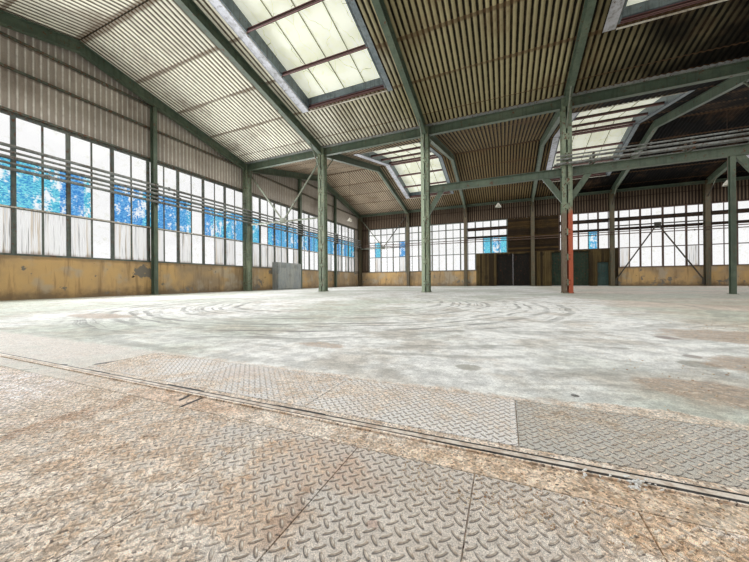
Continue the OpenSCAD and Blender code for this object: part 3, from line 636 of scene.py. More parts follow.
@finish_maker
def floor_concrete(tree):
    """Worn concrete with turning marks, stains, sand by the plates and peeling patches"""
    place = here(tree)
    axes = split(place)
    large = cloud(place, 0.22, 4, 0.55)
    middle = cloud(place, 1.6, 5, 0.65)
    small = cloud(place, 9.0, 4, 0.7)
    sand = cloud(place, 60.0, 3, 0.7)
    fine = cloud(place, 230.0, 2, 0.7)
    right = between(axes["X"] + middle * 0.8, -0.4, 0.9)
    colour = blend(right, (0.96, 0.96, 0.95), (0.87, 0.81, 0.75))
    green = between(large, 0.42, 0.58) * 0.8
    colour = blend(green, colour, (0.76, 0.79, 0.73))
    colour = blend(between(middle, 0.46, 0.64) * 0.5, colour, (0.72, 0.67, 0.6))
    drag = cloud(stretch(place, 0.9, 6.5, 1.0), 1.0, 6, 0.78)
    colour = blend(between(drag, 0.5, 0.64) * 0.22, colour, (0.52, 0.5, 0.47))
    mottle = between(small, 0.36, 0.64, 0.76, 1.14) * between(axes["Y"], -9.5, 1.0, 1.04, 0.65)
    colour = toned(colour, mottle)
    marks = turning_marks(tree, Position=place, Centre_X=-6.4, Centre_Y=-7.8, Inner=1.8, Outer=5.4,
                          Fineness=5.5)["Mask"]
    wide = turning_marks(tree, Position=place, Centre_X=-4.6, Centre_Y=-6.2, Inner=4.6, Outer=7.6,
                         Fineness=2.6)["Mask"]
    colour = blend(marks * 0.72, colour, (0.4, 0.4, 0.38))
    colour = blend(wide * 0.35, colour, (0.46, 0.46, 0.43))
    for x, y, long, wide_y, amount, tone in FLOOR_STAINS:
        patch = patch_at(place, x, y, long * 1.1, wide_y * 1.1, 1.1, 6.0)
        patch = patch * between(sand, 0.35, 0.6, 0.55, 1.0)
        colour = blend(patch * amount, colour, tone)
    ground = sandy_ground(tree, Position=place)
    debris = cloud(place, 26.0, 5, 0.8)
    for x, y, long, wide_y in FLOOR_PEELING:
        patch = patch_at(place, x, y, long, wide_y, 1.3, 3.0)
        peel = blend(between(debris, 0.42, 0.48), (0.36, 0.28, 0.22), (0.72, 0.62, 0.53))
        peel = blend(between(debris, 0.56, 0.6), peel, (0.9, 0.85, 0.78))
        colour = blend(patch * between(debris, 0.35, 0.6, 0.35, 0.9), colour, peel)
    rim = axes["Y"] + (small - 0.5) * 0.25
    near = between(rim, -13.36, -13.46) * between(middle, 0.3, 0.55, 0.45, 0.95)
    spill = patch_at(place, -1.85, -13.4, 0.4, 0.09, 1.4, 7.0)
    near = calc("MAXIMUM", near, spill * 0.8)
    bleached = between(axes["X"], -4.2, -5.4) * 0.6
    colour = blend(near, colour, blend(bleached, ground["Color"], (0.96, 0.95, 0.94)))
    gold = patch_at(place, -2.1, -14.03, 0.75, 0.09, 0.6, 6.0)
    brown = patch_at(place, -3.85, -14.02, 0.45, 0.08, 0.6, 6.0)
    colour = blend(gold * 0.45, colour, (0.99, 0.92, 0.82), "MULTIPLY")
    colour = blend(brown * 0.45, colour, (0.96, 0.86, 0.78), "MULTIPLY")
    speck = between(sand, 0.6, 0.68)
    colour = blend(speck * 0.6, colour, (0.36, 0.3, 0.25))
    spots = between(cloud(shift(place, 5, 5, 0), 5.0, 3, 0.75), 0.68, 0.73)
    colour = blend(spots * 0.5, colour, (0.44, 0.41, 0.36))
    # Painted shadow: dark lines in the gaps between plates and along the edge angle
    slots = None
    for x0, y0, x1, y1, half in FLOOR_SLOT_SHADOWS:
        cut = dark_slot(tree, Position=place, X0=x0, Y0=y0, X1=x1, Y1=y1, Half_width=half)["Mask"]
        slots = cut if slots is None else calc("MAXIMUM", slots, cut)
    colour = blend(slots, colour, (0.06, 0.05, 0.05))
    grain = between(fine * 0.5 + sand * 0.5, 0.36, 0.64, 0.66, 1.2)
    colour = toned(colour, grain)
    height = fine * 0.4 + (small * 1.2 + sand)
    height = height + ground["Height"] * near
    rough = held(middle * 0.4 + 0.45)
    return surface(colour, rough, height, 0.6, 0.006)


@finish_maker
def edge_steel(tree):
    """Edge angle: a bare pale strip with a painted shadow line beside it, trodden sand over the rest"""
    place = here(tree)
    axes = split(place)
    sand = sandy_ground(tree, Position=place)
    wander = (cloud(place, 3.0, 3, 0.6) - 0.5) * 0.006
    y = axes["Y"] + wander
    rust = between(cloud(place, 20.0, 4, 0.7), 0.4, 0.65)
    strip = between(y, -13.937, -13.934)
    colour = blend(strip, sand["Color"], blend(rust, (0.92, 0.88, 0.83), (0.74, 0.66, 0.59)))
    # Painted shadow: a dark line beside the pale strip, where the upstand casts shade
    far = -13.943 + between(axes["X"], -2.8, -2.3, 0.0, -0.014)
    shadow_line = between(y, -13.935, -13.938) * between(y - far, -0.002, 0.001)
    colour = blend(shadow_line * between(axes["X"], -5.2, -4.4, 0.5, 1.0), colour, (0.07, 0.05, 0.04))
    return surface(colour, between(rust, 0.0, 1.0, 0.5, 0.85), sand["Height"], 0.4, 0.002)


FLOOR_PEELING = (
    (-1.45, -12.98, 0.36, 0.26), (-0.75, -12.3, 0.55, 0.35), (-0.1, -11.0, 1.0, 0.5), (2.0, -9.8, 1.8, 0.7),
    (-3.9, -12.7, 0.30, 0.12), (6.5, -7.0, 2.4, 1.4), (-8.9, -12.0, 0.9, 0.3),
)
# Painted shadows on the floor: the two ends and the half width of each dark line
FLOOR_SLOT_SHADOWS = (
    (-5.02, -13.81, -4.9, -13.515, 0.016), (-3.842, -14.028, -3.862, -13.953, 0.01),
    (-3.764, -14.072, -3.767, -13.972, 0.009), (-7.4, -14.02, -6.9, -13.98, 0.006),
    (-6.25, -13.909, 1.25, -13.909, 0.0046), (-4.9, -13.907, -4.68, -13.907, 0.008),
    (-4.12, -13.906, -3.85, -13.906, 0.01), (-3.36, -13.907, -3.12, -13.907, 0.009),
    (-5.3, -13.93, -5.2, -13.905, 0.016), (-5.34, -14.1, -5.25, -14.02, 0.005),
)
FLOOR_STAINS = (
    (-2.633, -12.957, 0.085, 0.075, 0.75, (0.55, 0.53, 0.46)),
    (-1.262, -12.354, 0.115, 0.115, 0.75, (0.48, 0.47, 0.42)),
    (-1.003, -11.248, 0.10, 0.10, 0.8, (0.42, 0.30, 0.26)),
    (-1.662, -11.951, 0.16, 0.05, 0.5, (0.48, 0.46, 0.42)),
    (-1.181, -12.093, 0.05, 0.06, 0.7, (0.47, 0.40, 0.36)),
    (-2.566, -12.255, 0.09, 0.08, 0.5, (0.60, 0.60, 0.57)),
    (-2.109, -13.272, 0.018, 0.020, 1.0, (0.12, 0.10, 0.08)),
    (9.0, -3.0, 4.0, 2.2, 0.40, (0.58, 0.50, 0.42)),
    (4.0, -6.0, 3.0, 1.6, 0.30, (0.64, 0.56, 0.47)),
)


@finish_kind
def plate_finish(tree, strip, steel, lighter, dusting, clean_x, patches=(), darker_from=9.0):
    """A tear plate finish: grey steel under sand, painted shadow below the tears, rust, coloured patches. clean_x
    is where the sand is swept off, darker_from the joint where the older and darker plates begin"""
    place = here(tree)
    axes = split(place)
    across = axes["X"] - strip["x0"]
    u = calc("FLOORED_MODULO", across, strip["width"]) - PLATE_MARGIN
    v = strip["y1"] - PLATE_MARGIN - axes["Y"]
    tears = tear_dirt(tree, U=u, V=v)
    each = chance_of(calc("FLOOR", across / strip["width"]))["Value"]
    middle = cloud(place, 5.5, 5, 0.7)
    pits = cloud(place, 190.0, 3, 0.75)
    fine = cloud(place, 420.0, 2, 0.7)
    colour = blend((middle + each) * 0.5, steel, lighter)
    colour = blend(between(pits, 0.57, 0.66, 0.0, 0.7), colour, (0.34, 0.29, 0.25))
    colour = blend(between(pits, 0.43, 0.36, 0.0, 0.8), colour, (0.9, 0.87, 0.82))
    rust = between(cloud(shift(place, 4, 1, 0), 1.7, 5, 0.7), 0.56, 0.7)
    colour = blend(rust * 0.35, colour, (0.76, 0.58, 0.46))
    dust = plate_dust(tree, Position=place, Dusting=dusting, Clean_X=clean_x)["Mask"]
    sand = sandy_ground(tree, Position=place)
    colour = blend(dust * 0.88, colour, sand["Color"])
    # Painted shadow below each tear, fainter where sand lies
    shade = tears["Shade"] * between(dust, 0.0, 1.0, 0.85, 0.45)
    colour = blend(shade, colour, (0.24, 0.2, 0.17))
    for x, y, long, wide, amount, tone in patches:
        patch = patch_at(place, x, y, long, wide, 1.8, 7.0)
        patch = patch * amount * between(middle, 0.35, 0.55, 0.4, 1.0)
        colour = blend(patch, colour, tone, "MULTIPLY")
    older = between(axes["X"], darker_from, darker_from + 0.002)
    colour = blend(older, colour, (0.85, 0.85, 0.83), "MULTIPLY")
    grain = between(fine, 0.38, 0.62, 0.6, 1.4)
    colour = toned(colour, grain)
    rough = held(dust * 0.35 + 0.48)
    height = pits * 0.8 + sand["Height"] * (dust + 0.2)
    return surface(colour, rough, height, 0.7, 0.003, 0.1)


@finish_maker
def plate_tear(tree):
    """Raised tears, bright on top and darker lower down, partly from rubbing and partly as a painted highlight and
    painted shade; sandy where sand lies on the plates
    """
    place = here(tree)
    top = between(split(place)["Z"], FLOOR + 0.0002, FLOOR + 0.002)
    large = cloud(place, 0.9, 3, 0.6)
    middle = cloud(place, 5.5, 5, 0.7)
    worn = cloud(place, 60.0, 3, 0.7)
    # Painted highlight on the tops and painted shade on the lower sides, partly rubbed steel as well
    low = blend(middle, (0.5, 0.45, 0.4), (0.66, 0.58, 0.49))
    high = blend(large, (0.88, 0.87, 0.85), (1.0, 0.97, 0.92))
    colour = blend(top, low, high)
    dust = plate_dust(tree, Position=place, Dusting=0.06, Clean_X=SWEPT_X)["Mask"]
    sand = sandy_ground(tree, Position=place)["Color"]
    colour = blend(dust * 0.8, colour, sand)
    colour = blend(between(worn, 0.5, 0.7) * 0.3, colour, (0.6, 0.52, 0.44))
    return surface(colour, between(worn, 0.2, 0.8, 0.35, 0.7), worn, 0.2, 0.001, 0.1)


PIT_PATCHES = (
    (-4.09, -14.33, 0.07, 0.32, 0.6, (0.84, 0.74, 0.66)), (-2.98, -14.22, 0.24, 0.15, 0.6, (0.99, 0.91, 0.83)),
    (-2.99, -14.42, 0.17, 0.14, 0.5, (0.97, 0.88, 0.79)), (-2.90, -14.40, 0.036, 0.12, 0.5, (0.74, 0.65, 0.58)),
    (-2.05, -14.15, 0.25, 0.08, 0.6, (0.99, 0.91, 0.81)), (-2.70, -14.36, 0.020, 0.020, 0.5, (0.88, 0.72, 0.66)),
    (-1.60, -14.16, 0.45, 0.12, 0.6, (0.99, 0.94, 0.86)), (-3.60, -14.30, 0.36, 0.26, 0.4, (0.99, 0.94, 0.89)),
    (-5.20, -14.50, 0.98, 0.60, 0.9, (1.12, 1.17, 1.26)),
)
plate_finish("pit_plate", PIT, (0.74, 0.71, 0.68), (0.9, 0.87, 0.84), 0.09, SWEPT_X, PIT_PATCHES)
plate_finish("trench_plate", TRENCH, (0.84, 0.83, 0.83), (0.99, 0.97, 0.95), 0.02, -1.6, (),
             TRENCH["x0"] + 3 * TRENCH["width"])


@finish_maker
def grit(tree):
    """Brown and pale crumbs"""
    place = here(tree)
    tone = cloud(place, 38.0, 2, 0.6)
    colour = blend(between(tone, 0.35, 0.65), (0.66, 0.51, 0.36), (0.95, 0.88, 0.77))
    fine = cloud(place, 400.0, 2)
    return surface(colour, between(fine, 0.0, 1.0, 0.75, 0.95), fine, 0.3, 0.001)


@finish_maker
def plaster_crumb(tree):
    """White crumbs of plaster"""
    place = here(tree)
    fine = cloud(place, 260.0, 3)
    colour = blend(between(fine, 0.35, 0.65), (0.97, 0.97, 0.96), (0.84, 0.84, 0.83))
    return surface(colour, between(fine, 0.0, 1.0, 0.75, 0.95), fine, 0.3, 0.001)


@finish_maker
def dado_plaster(tree):
    """Ochre paint on plaster, sooty at the foot, knocked off in places"""
    place = here(tree)
    axes = split(place)
    large = cloud(place, 0.5, 4, 0.6)
    middle = cloud(place, 2.6, 5, 0.65)
    fine = cloud(place, 60.0, 2, 0.6)
    colour = blend(between(large, 0.35, 0.65), setting("dado_paint"), (0.62, 0.54, 0.43))
    faded = between(cloud(shift(place, 1, 4, 2), 0.8, 3, 0.6), 0.52, 0.62)
    colour = blend(faded * 0.6, colour, (0.7, 0.66, 0.59))
    foot = between(axes["Z"] + middle * 0.9, 1.05, 0.6)
    colour = blend(foot * 0.75, colour, (0.42, 0.35, 0.27))
    top = between(axes["Z"] + middle * -0.25, 1.43, 1.54)
    colour = blend(top * 0.6, colour, (0.48, 0.4, 0.3))
    runs = between(cloud(stretch(place, 5, 5, 0.5), 1.0, 4, 0.6), 0.5, 0.66)
    colour = blend(runs * 0.5, colour, (0.46, 0.36, 0.26))
    bare = between(cloud(shift(place, 6, 2, 9), 0.9, 6, 0.7), 0.59, 0.61)
    colour = blend(bare, colour, blend(fine, (0.58, 0.55, 0.5), (0.36, 0.33, 0.29)))
    hole = between(cloud(stretch(shift(place, 3, 3, 3), 1.0, 1.0, 1.6), 2.4, 5, 0.7), 0.67, 0.69)
    colour = blend(hole, colour, (0.16, 0.12, 0.09))
    grain = between(fine, 0.2, 0.8, 0.86, 1.08)
    colour = toned(colour, grain)
    height = fine * 0.3 - (bare + hole)
    return surface(colour, between(middle, 0.0, 1.0, 0.7, 0.95), height, 0.6, 0.008)


@finish_kind
def board_finish(tree, dark, light, across, width):
    """A painted board finish. across is the direction over the boards, width one board"""
    place = here(tree)
    axes = split(place)
    count = axes[across] / width
    each = chance_of(calc("FLOOR", count))["Value"]
    inside = abs(calc("FRACT", count) - 0.5)
    joint = between(inside, 0.46, 0.49)
    grain_stretch = (1.5, 1.5, 28.0) if across == "Z" else (28.0, 28.0, 1.2)
    grain = cloud(stretch(place, *grain_stretch), 1.0, 4, 0.6)
    large = cloud(place, 0.6, 4, 0.6)
    colour = blend(between(each * 0.5 + large * 0.6, 0.3, 0.75), dark, light)
    colour = blend(between(grain, 0.45, 0.7) * 0.5, colour, (0.11, 0.08, 0.05))
    stain = between(cloud(shift(place, 2, 7, 4), 1.1, 5, 0.65), 0.55, 0.68)
    colour = blend(stain * 0.5, colour, (0.14, 0.12, 0.09))
    colour = blend(joint, colour, (0.1, 0.08, 0.06))
    height = grain * 0.3 - joint
    return surface(colour, between(grain, 0.0, 1.0, 0.6, 0.85), height, 0.6, 0.006, 0.0, 0.15)


board_finish("infill_boards", (0.15, 0.11, 0.07), (0.3, 0.23, 0.12), "Z", 0.19)
board_finish("gate_wall_boards", (0.21, 0.17, 0.11), (0.37, 0.31, 0.19), "X", 0.16)


@finish_maker
def glass_clear(tree):
    """Dusty clear glass"""
    place = here(tree)
    dirt = cloud(place, 3.0, 4, 0.6)
    colour = blend(between(dirt, 0.5, 0.8), (1.0, 1.0, 1.0), (0.95, 0.95, 0.92))
    return {"Base Color": colour, "Roughness": between(dirt, 0.4, 0.8, 0.06, 0.14), "Transmission Weight": 1.0,
            "IOR": 1.45}


@finish_maker
def glass_blue(tree):
    """Old patterned glass: each pane its own blue, turquoise or white, in a fine wavy weave"""
    place = here(tree)
    axes = split(place)
    pane = calc("FLOOR", (axes["Y"] + axes["X"] + 40.05) / (UNIT / 2))
    each = chance_of(pane)
    hue = split(each["Color"])
    cells = parts("ShaderNodeTexVoronoi", {"Vector": stretch(place, 16.0, 16.0, 34.0), "Scale": 1.0}, feature="F1")
    cell = split(cells["Color"])["X"]
    patch = cloud(stretch(place, 2.2, 2.2, 1.4), 1.6, 4, 0.65)
    deep = blend(between(hue["X"], 0.3, 0.6), (0.25, 0.54, 0.82), (0.27, 0.66, 0.82))
    light = blend(between(hue["Y"], 0.4, 0.6), (0.48, 0.74, 0.93), (0.52, 0.88, 0.93))
    colour = blend(between(cell * 0.7 + patch * 0.5, 0.3, 0.85), deep, light)
    white = patch * 1.6 + cell * 0.22 + hue["Z"] * 0.3
    colour = blend(between(white, 1.14, 1.34), colour, (0.97, 0.99, 1.0))
    return {"Base Color": colour, "Roughness": between(patch, 0.3, 0.7, 0.15, 0.35),
            "Normal": relief(cells["Distance"], 0.25, 0.002), "Transmission Weight": 1.0, "IOR": 1.2}


@finish_maker
def sheet_ribbed(tree):
    """White translucent ribbed sheet with thin dark lines and brown runs"""
    place = here(tree)
    runs = cloud(stretch(place, 11, 11, 0.3), 1.0, 4, 0.65)
    colour = blend(between(runs, 0.52, 0.7), (1.0, 1.0, 1.0), (0.86, 0.8, 0.71))
    lines = between(cloud(stretch(shift(place, 5, 5, 0), 26, 26, 0.5), 1.0, 2, 0.6), 0.6, 0.66)
    colour = blend(lines * 0.75, colour, (0.3, 0.28, 0.25))
    foot = between(split(place)["Z"] + runs * -0.5, 1.66, 1.5)
    colour = blend(foot * 0.6, colour, (0.5, 0.4, 0.3))
    return {"Base Color": colour, "Roughness": between(runs, 0.2, 0.8, 0.35, 0.6), "Transmission Weight": 0.85,
            "IOR": 1.2}


@finish_maker
def light_pane(tree):
    """Milky rooflight panel with fine crazing; it glows on the underside"""
    place = here(tree)
    large = cloud(place, 0.8, 3, 0.6)
    fine = cloud(place, 30.0, 2, 0.6)
    bent = made("ShaderNodeVectorMath",
                {0: place, 1: stretch(made("ShaderNodeTexNoise", {"Vector": place, "Scale": 0.9, "Detail": 3.0},
                                           "Color"), 0.9, 0.9, 0.9)}, operation="ADD")
    cells = made("ShaderNodeTexVoronoi", {"Vector": stretch(bent, 1.0, 0.35, 0.35), "Scale": 1.3}, "Distance",
                 feature="DISTANCE_TO_EDGE")
    crack = between(cells, 0.01, 0.002)
    colour = blend(between(large, 0.35, 0.7), (0.93, 0.94, 0.88), (0.86, 0.87, 0.78))
    colour = blend(crack * 0.6, colour, (0.45, 0.44, 0.33))
    moss = between(cloud(shift(place, 8, 1, 1), 2.5, 5, 0.7), 0.58, 0.72)
    colour = blend(moss * 0.25, colour, (0.6, 0.58, 0.42))
    return {"Base Color": colour, "Emission Color": toned(colour, facing_up(tree, -0.3, -0.8)),
            "Emission Strength": 0.42, "Roughness": between(fine, 0.0, 1.0, 0.45, 0.7)}


@finish_maker
def lamp_glass(tree):
    """Frosted bulb, dusty at the neck"""
    place = here(tree)
    dust = cloud(place, 60.0, 3, 0.6)
    colour = blend(between(dust, 0.45, 0.7), (0.93, 0.93, 0.91), (0.8, 0.78, 0.72))
    return {"Base Color": colour, "Roughness": between(dust, 0.2, 0.8, 0.3, 0.6), "Transmission Weight": 0.5}


@finish_maker
def pale_stage(tree):
    """Pale studio floor"""
    place = here(tree)
    soft = cloud(place, 0.05, 2)
    colour = blend(soft, (0.86, 0.86, 0.85), (0.89, 0.89, 0.88))
    return {"Base Color": colour, "Roughness": 0.9}


NODE_FINISH = {
    "floor_concrete": ("floor_slab",),
    "pit_plate": ("pit_cover_plates",),
    "trench_plate": ("trench_cover_plates",),
    "edge_steel": ("floor_edge_angle",),
    "dado_plaster": ("dado_sides", "dado_gables"),
    "gate_wall_boards": ("gate_wall",),
    "frame_paint": ("window_frames_far", "window_frames_near", "window_frames_gables"),
    "steel_dark": ("cladding_rails", "pipe_brackets"),
    "infill_boards": ("infill_boards",),
    "valley_green": ("valley_columns",),
    "wall_column": ("side_columns",),
    "steel_green": ("gable_posts", "rafters_front_nave", "rafters_back_nave", "valley_beams",
                    "eaves_beams", "pipe_bridge"),
    "brace_green": ("frame_bracing",),
    "purlin_maroon": ("purlins",),
    "kerb_zinc": ("rooflight_kerbs",),
    "light_pane": ("rooflight_panes",),
    "ridge_zinc": ("ridge_caps",),
    "gutter_zinc": ("valley_gutter",),
    "pipe_silver": ("bridge_pipes", "gable_pipes"),
    "pipe_grey": ("far_wall_pipes",),
    "hinge_steel": ("hinge_pintles",),
    "gate_dark": ("gate_a_leaf_left", "gate_a_leaf_right"),
    "gate_green": ("gate_b_leaf_left", "gate_b_leaf_right"),
    "door_teal": ("side_door",),
    "cabinet_grey": ("switch_cabinet", "cabinet_door_left", "cabinet_door_right"),
    "lamp_enamel": ("pendant_lamps",),
    "glass_clear": ("window_glass",),
    "roof_sheet": ("roof_sheets_front_nave", "roof_sheets_back_nave"),
    "side_sheet": ("side_cladding",),
    "gable_sheet": ("gable_cladding",),
}


# ---------------------------------------------------------------- modelling helpers

def at(x, y, z):
    return Matrix.Translation((x, y, z))


def turned(angle, axis):
    return Matrix.Rotation(angle, 4, axis)


def pick(*pieces):
    """Selects these pieces alone, the first of them active"""
    bpy.ops.object.select_all(action="DESELECT")
    for piece in pieces:
        piece.select_set(True)
        bpy.context.view_layer.objects.active = pieces[0]


def taken(size=(1, 1, 1)):
    """The object that an operator has just made, sized, with its place and turn put into the mesh"""
    piece = bpy.context.active_object
    piece.scale = size
    pick(piece)
    bpy.ops.object.transform_apply(location=True, rotation=True, scale=True)
    return piece


@contextmanager
def editing(piece):
    """Edit mode on one piece with all of it selected"""
    pick(piece)
    bpy.ops.object.mode_set(mode="EDIT")
    bpy.ops.mesh.select_all(action="SELECT")
    yield
    bpy.ops.object.mode_set(mode="OBJECT")


def altered(piece, kind, **settings):
    """Adds a modifier and applies it"""
    modifier = piece.modifiers.new(kind, kind)
    for name, value in settings.items():
        setattr(modifier, name, value)
    pick(piece)
    bpy.ops.object.modifier_apply(modifier=modifier.name)
    return piece


def run_nodes(piece, group, **values):
    """Applies a group of geometry nodes with these inputs"""
    modifier = piece.modifiers.new("nodes", "NODES")
    modifier.node_group = group
    values = spaced(values)
    for item in group.interface.items_tree:
        if item.in_out == "INPUT" and item.name in values:
            modifier[item.identifier] = values[item.name]
    pick(piece)
    bpy.ops.object.modifier_apply(modifier=modifier.name)
    return piece


def shelled(piece, thick=SHEET_THICKNESS, offset=0):
    return altered(piece, "SOLIDIFY", thickness=thick, offset=offset)


def bevelled(piece, width, segments=1):
    return altered(piece, "BEVEL", width=width, segments=segments, limit_method="ANGLE")


def bar(low, high, edge=0.003, segments=1):
    """A rolled or sawn bar between two corners, its edges eased"""
    bpy.ops.mesh.primitive_cube_add(size=1, location=[(a + b) / 2 for a, b in zip(low, high)])
    return bevelled(taken([b - a for a, b in zip(low, high)]), edge, segments)


def tube(radius, depth, place=(0, 0, 0), turn=(0, 0, 0), sides=16, edge=0.0):
    """A round or many-sided bar with eased ends"""
    bpy.ops.mesh.primitive_cylinder_add(vertices=sides, radius=radius, depth=depth, location=place, rotation=turn)
    return bevelled(taken(), edge) if edge else taken()


def grid(place, long, wide, columns, rows):
    """A flat grid round its middle"""
    bpy.ops.mesh.primitive_grid_add(x_subdivisions=columns, y_subdivisions=rows, size=1, location=place)
    return taken((long, wide, 1))


def spun(outline, steps):
    """A hollow form turned round the Z axis: one point is drawn out along the outline of (radius, height)"""
    bpy.ops.mesh.primitive_plane_add(size=0.01)
    piece = bpy.context.active_object
    with editing(piece):
        bpy.ops.mesh.merge(type="CENTER")
        bpy.ops.transform.translate(value=(outline[0][0], 0, outline[0][1]))
        for (r0, z0), (r1, z1) in zip(outline, outline[1:]):
            bpy.ops.mesh.extrude_vertices_move(TRANSFORM_OT_translate={"value": (r1 - r0, 0, z1 - z0)})
        bpy.ops.mesh.select_all(action="SELECT")
        bpy.ops.mesh.spin(steps=steps, angle=math.tau, center=(0, 0, 0), axis=(0, 0, 1))
        bpy.ops.mesh.select_all(action="SELECT")
        bpy.ops.mesh.remove_doubles(threshold=0.0001)
        bpy.ops.mesh.normals_make_consistent(inside=False)
    return piece


def moved_copy(model, matrix):
    """A copy with its own mesh, moved in the mesh"""
    piece = model.copy()
    piece.data = model.data.copy()
    piece.data.transform(matrix)
    bpy.context.scene.collection.objects.link(piece)
    return piece


def mirrored(model, matrix):
    """A copy turned left for right in X, then moved; its faces are turned out again"""
    piece = moved_copy(model, matrix @ Matrix.Scale(-1, 4, (1, 0, 0)))
    with editing(piece):
        bpy.ops.mesh.normals_make_consistent(inside=False)
    return piece


def in_line(model, count, step, matrix):
    """A row of copies along X, moved to its place"""
    piece = altered(moved_copy(model, Matrix()), "ARRAY", count=count, use_relative_offset=False,
                    use_constant_offset=True, constant_offset_displace=(step, 0, 0))
    piece.data.transform(matrix)
    return piece


def joined(pieces, name="model"):
    """One object of many"""
    pick(*pieces)
    if len(pieces) > 1:
        bpy.ops.object.join()
    pieces[0].name = pieces[0].data.name = name
    return pieces[0]


def discard(*models):
    for model in models:
        bpy.data.objects.remove(model)


def dress(piece, *finishes):
    """Fills the piece's material slots"""
    for index, name in enumerate(finishes):
        if index < len(piece.data.materials):
            piece.data.materials[index] = finish(name)
        else:
            piece.data.materials.append(finish(name))


def seat(pieces, name, finishes, slot_name, stands_for=None, body=BUILDING, angle=0):
    """Joins pieces under a name and gives them their finishes (names with spaces between), body and
    the node that they stand for; the record slot is not used. Edges up to the angle are shaded smooth"""
    piece = joined(pieces, name)
    if angle:
        bpy.ops.object.shade_smooth_by_angle(angle=math.radians(angle))
    dress(piece, *finishes.split())
    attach(piece, body)
    if stands_for:
        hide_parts(stands_for)


# ---------------------------------------------------------------- corrugated sheets

def marked(geometry, name, value, domain):
    return made("GeometryNodeStoreNamedAttribute", {"Geometry": geometry, "Name": name, "Value": value},
                data_type="FLOAT", domain=domain)


def wave_nodes():
    """Geometry nodes that press a flat sheet into waves across X and note each sheet's tone and lap"""
    found = bpy.data.node_groups.get("press waves")
    if found:
        return found
    tree, takes = new_group("press waves", "GeometryNodeTree", {
        "Geometry": GEOMETRY, "Pitch": 0.2, "Depth": 0.044, "Sheet width": 1.0, "Row": 0.0,
        "Upper end": 0.0, "Lower end": 1.0}, {"Geometry": GEOMETRY})
    axes = split(source(tree, "GeometryNodeInputPosition", 0))
    lift = calc("SINE", axes["X"] / takes["Pitch"] * math.tau) * (takes["Depth"] * 0.5)
    sheet = calc("FLOOR", axes["X"] / takes["Sheet width"]) + takes["Row"] * 97.0
    along = made("ShaderNodeMapRange", {0: axes["Y"], 1: takes["Upper end"], 2: takes["Lower end"]})
    geometry = marked(takes["Geometry"], "sheet_tone", chance_of(sheet)["Value"], "FACE")
    geometry = marked(geometry, "lap", along, "POINT")
    offset = made("ShaderNodeCombineXYZ", {"Z": lift})
    node(tree, "NodeGroupOutput", {0: made("GeometryNodeSetPosition", {"Geometry": geometry, "Offset": offset})})
    return tree


def waved(x0, x1, upper, lower, trim, depth, row, pitch=None, steps=6, sheet_width=1.0):
    """A wavy sheet from its upper to its lower end along Y, its upper end trimmed"""
    pitch = pitch or setting("wave_pitch")
    piece = grid(((x0 + x1) / 2, (upper + trim + lower) / 2, 0), x1 - x0, lower - (upper + trim),
                 max(2, round((x1 - x0) / pitch * steps)), 1)
    return run_nodes(piece, wave_nodes(), Pitch=pitch, Depth=depth, Sheet_width=sheet_width, Row=float(row),
                     Upper_end=upper, Lower_end=lower)


def lapped(piece, upper, lower, lift_upper, lift_lower):
    """Tilts a row of sheets for its laps and gives it its thickness"""
    tilt = Matrix()
    tilt[2][1] = (lift_lower - lift_upper) / (lower - upper)
    tilt[2][3] = lift_upper - upper * tilt[2][1]
    piece.data.transform(tilt)
    return shelled(piece)


def slope_place(centre, side, height):
    """Matrix of a roof slope: X along the hall, Y down the slope from the ridge, Z out of it"""
    return at(0, centre, height) @ (turned(math.pi, "Z") if side < 0 else Matrix()) @ turned(-SLOPE, "X")


def roof_rows(ends, low_end):
    """Rows of sheets down one slope: (x spans, upper end, lower end), in slope measure"""
    lines = [0.0] + [purlin * ALONG for purlin in PURLINS[1:]] + [low_end * ALONG]
    cuts = [-ends] + [middle + way * LIGHT_HALF for middle in LIGHT_CENTRES for way in (-1, 1)] + [ends]
    for index, (upper, lower) in enumerate(zip(lines, lines[1:])):
        beside_lights = upper < LIGHT_RUN * ALONG - 0.01
        spans = list(zip(cuts[::2], cuts[1::2])) if beside_lights else [(-ends, ends)]
        yield spans, upper, lower + (0.16 if index < len(lines) - 2 else 0.0)


def slope_sheets(centre, side, ends, low_end, under, depth, first_row):
    """All rows of one slope, pressed and laid on the slope"""
    laid = []
    place = slope_place(centre, side, under) @ at(0, 0, depth / 2)
    rows = list(roof_rows(ends, low_end))
    for index, (spans, upper, lower) in enumerate(rows):
        for x0, x1 in spans:
            if side < 0:
                x0, x1 = -x1, -x0
            piece = waved(x0, x1, upper, lower, 0 if index else 0.016, depth - 0.006, first_row + index)
            lapped(piece, upper, lower, -0.001, 0.006 if index < len(rows) - 1 else 0.0)
            piece.data.transform(place)
            laid.append(piece)
    return laid


def build_roof(nave, centre):
    """Weather sheets over the purlins and lining sheets under them, for one nave"""
    first_row = 0 if centre < 0 else 40
    weather, lining = [], []
    for side in (1, -1):
        to_wall = side * centre > 0
        weather += slope_sheets(centre, side, 18.11, 8.85 if to_wall else 8.38, SHEETS_UNDER, SHEET_DEPTH,
                                first_row + 10 * side)
        lining += slope_sheets(centre, side, 17.9995, 8.486 if to_wall else 8.29, LINING_UNDER, LINING_DEPTH,
                               first_row + 200 + 10 * side)
    for sheets, kind, coat in ((weather, "weather", "roof_sheet"), (lining, "lining", "lining_sheet")):
        seat(sheets, f"{nave}_{kind}_sheets", coat, "roof_sheet", "roof_sheets_" + nave, angle=60)


def stood(piece, wall, lift=0.0):
    """Sets a flat sheet upright on a wall: X runs along the wall, Y down it"""
    piece.data.transform(WALLS[wall] @ (at(0, 0.025 + lift, 0) @ turned(-QUARTER, "X")))
    return piece


def wall_row(wall, u0, u1, low, high, row, lift_upper, lift_lower):
    """One row of upright sheets on a wall"""
    piece = waved(u0, u1, -high, -low, 0, WALL_DEPTH, row)
    return stood(lapped(piece, -high, -low, lift_upper, lift_lower), wall)


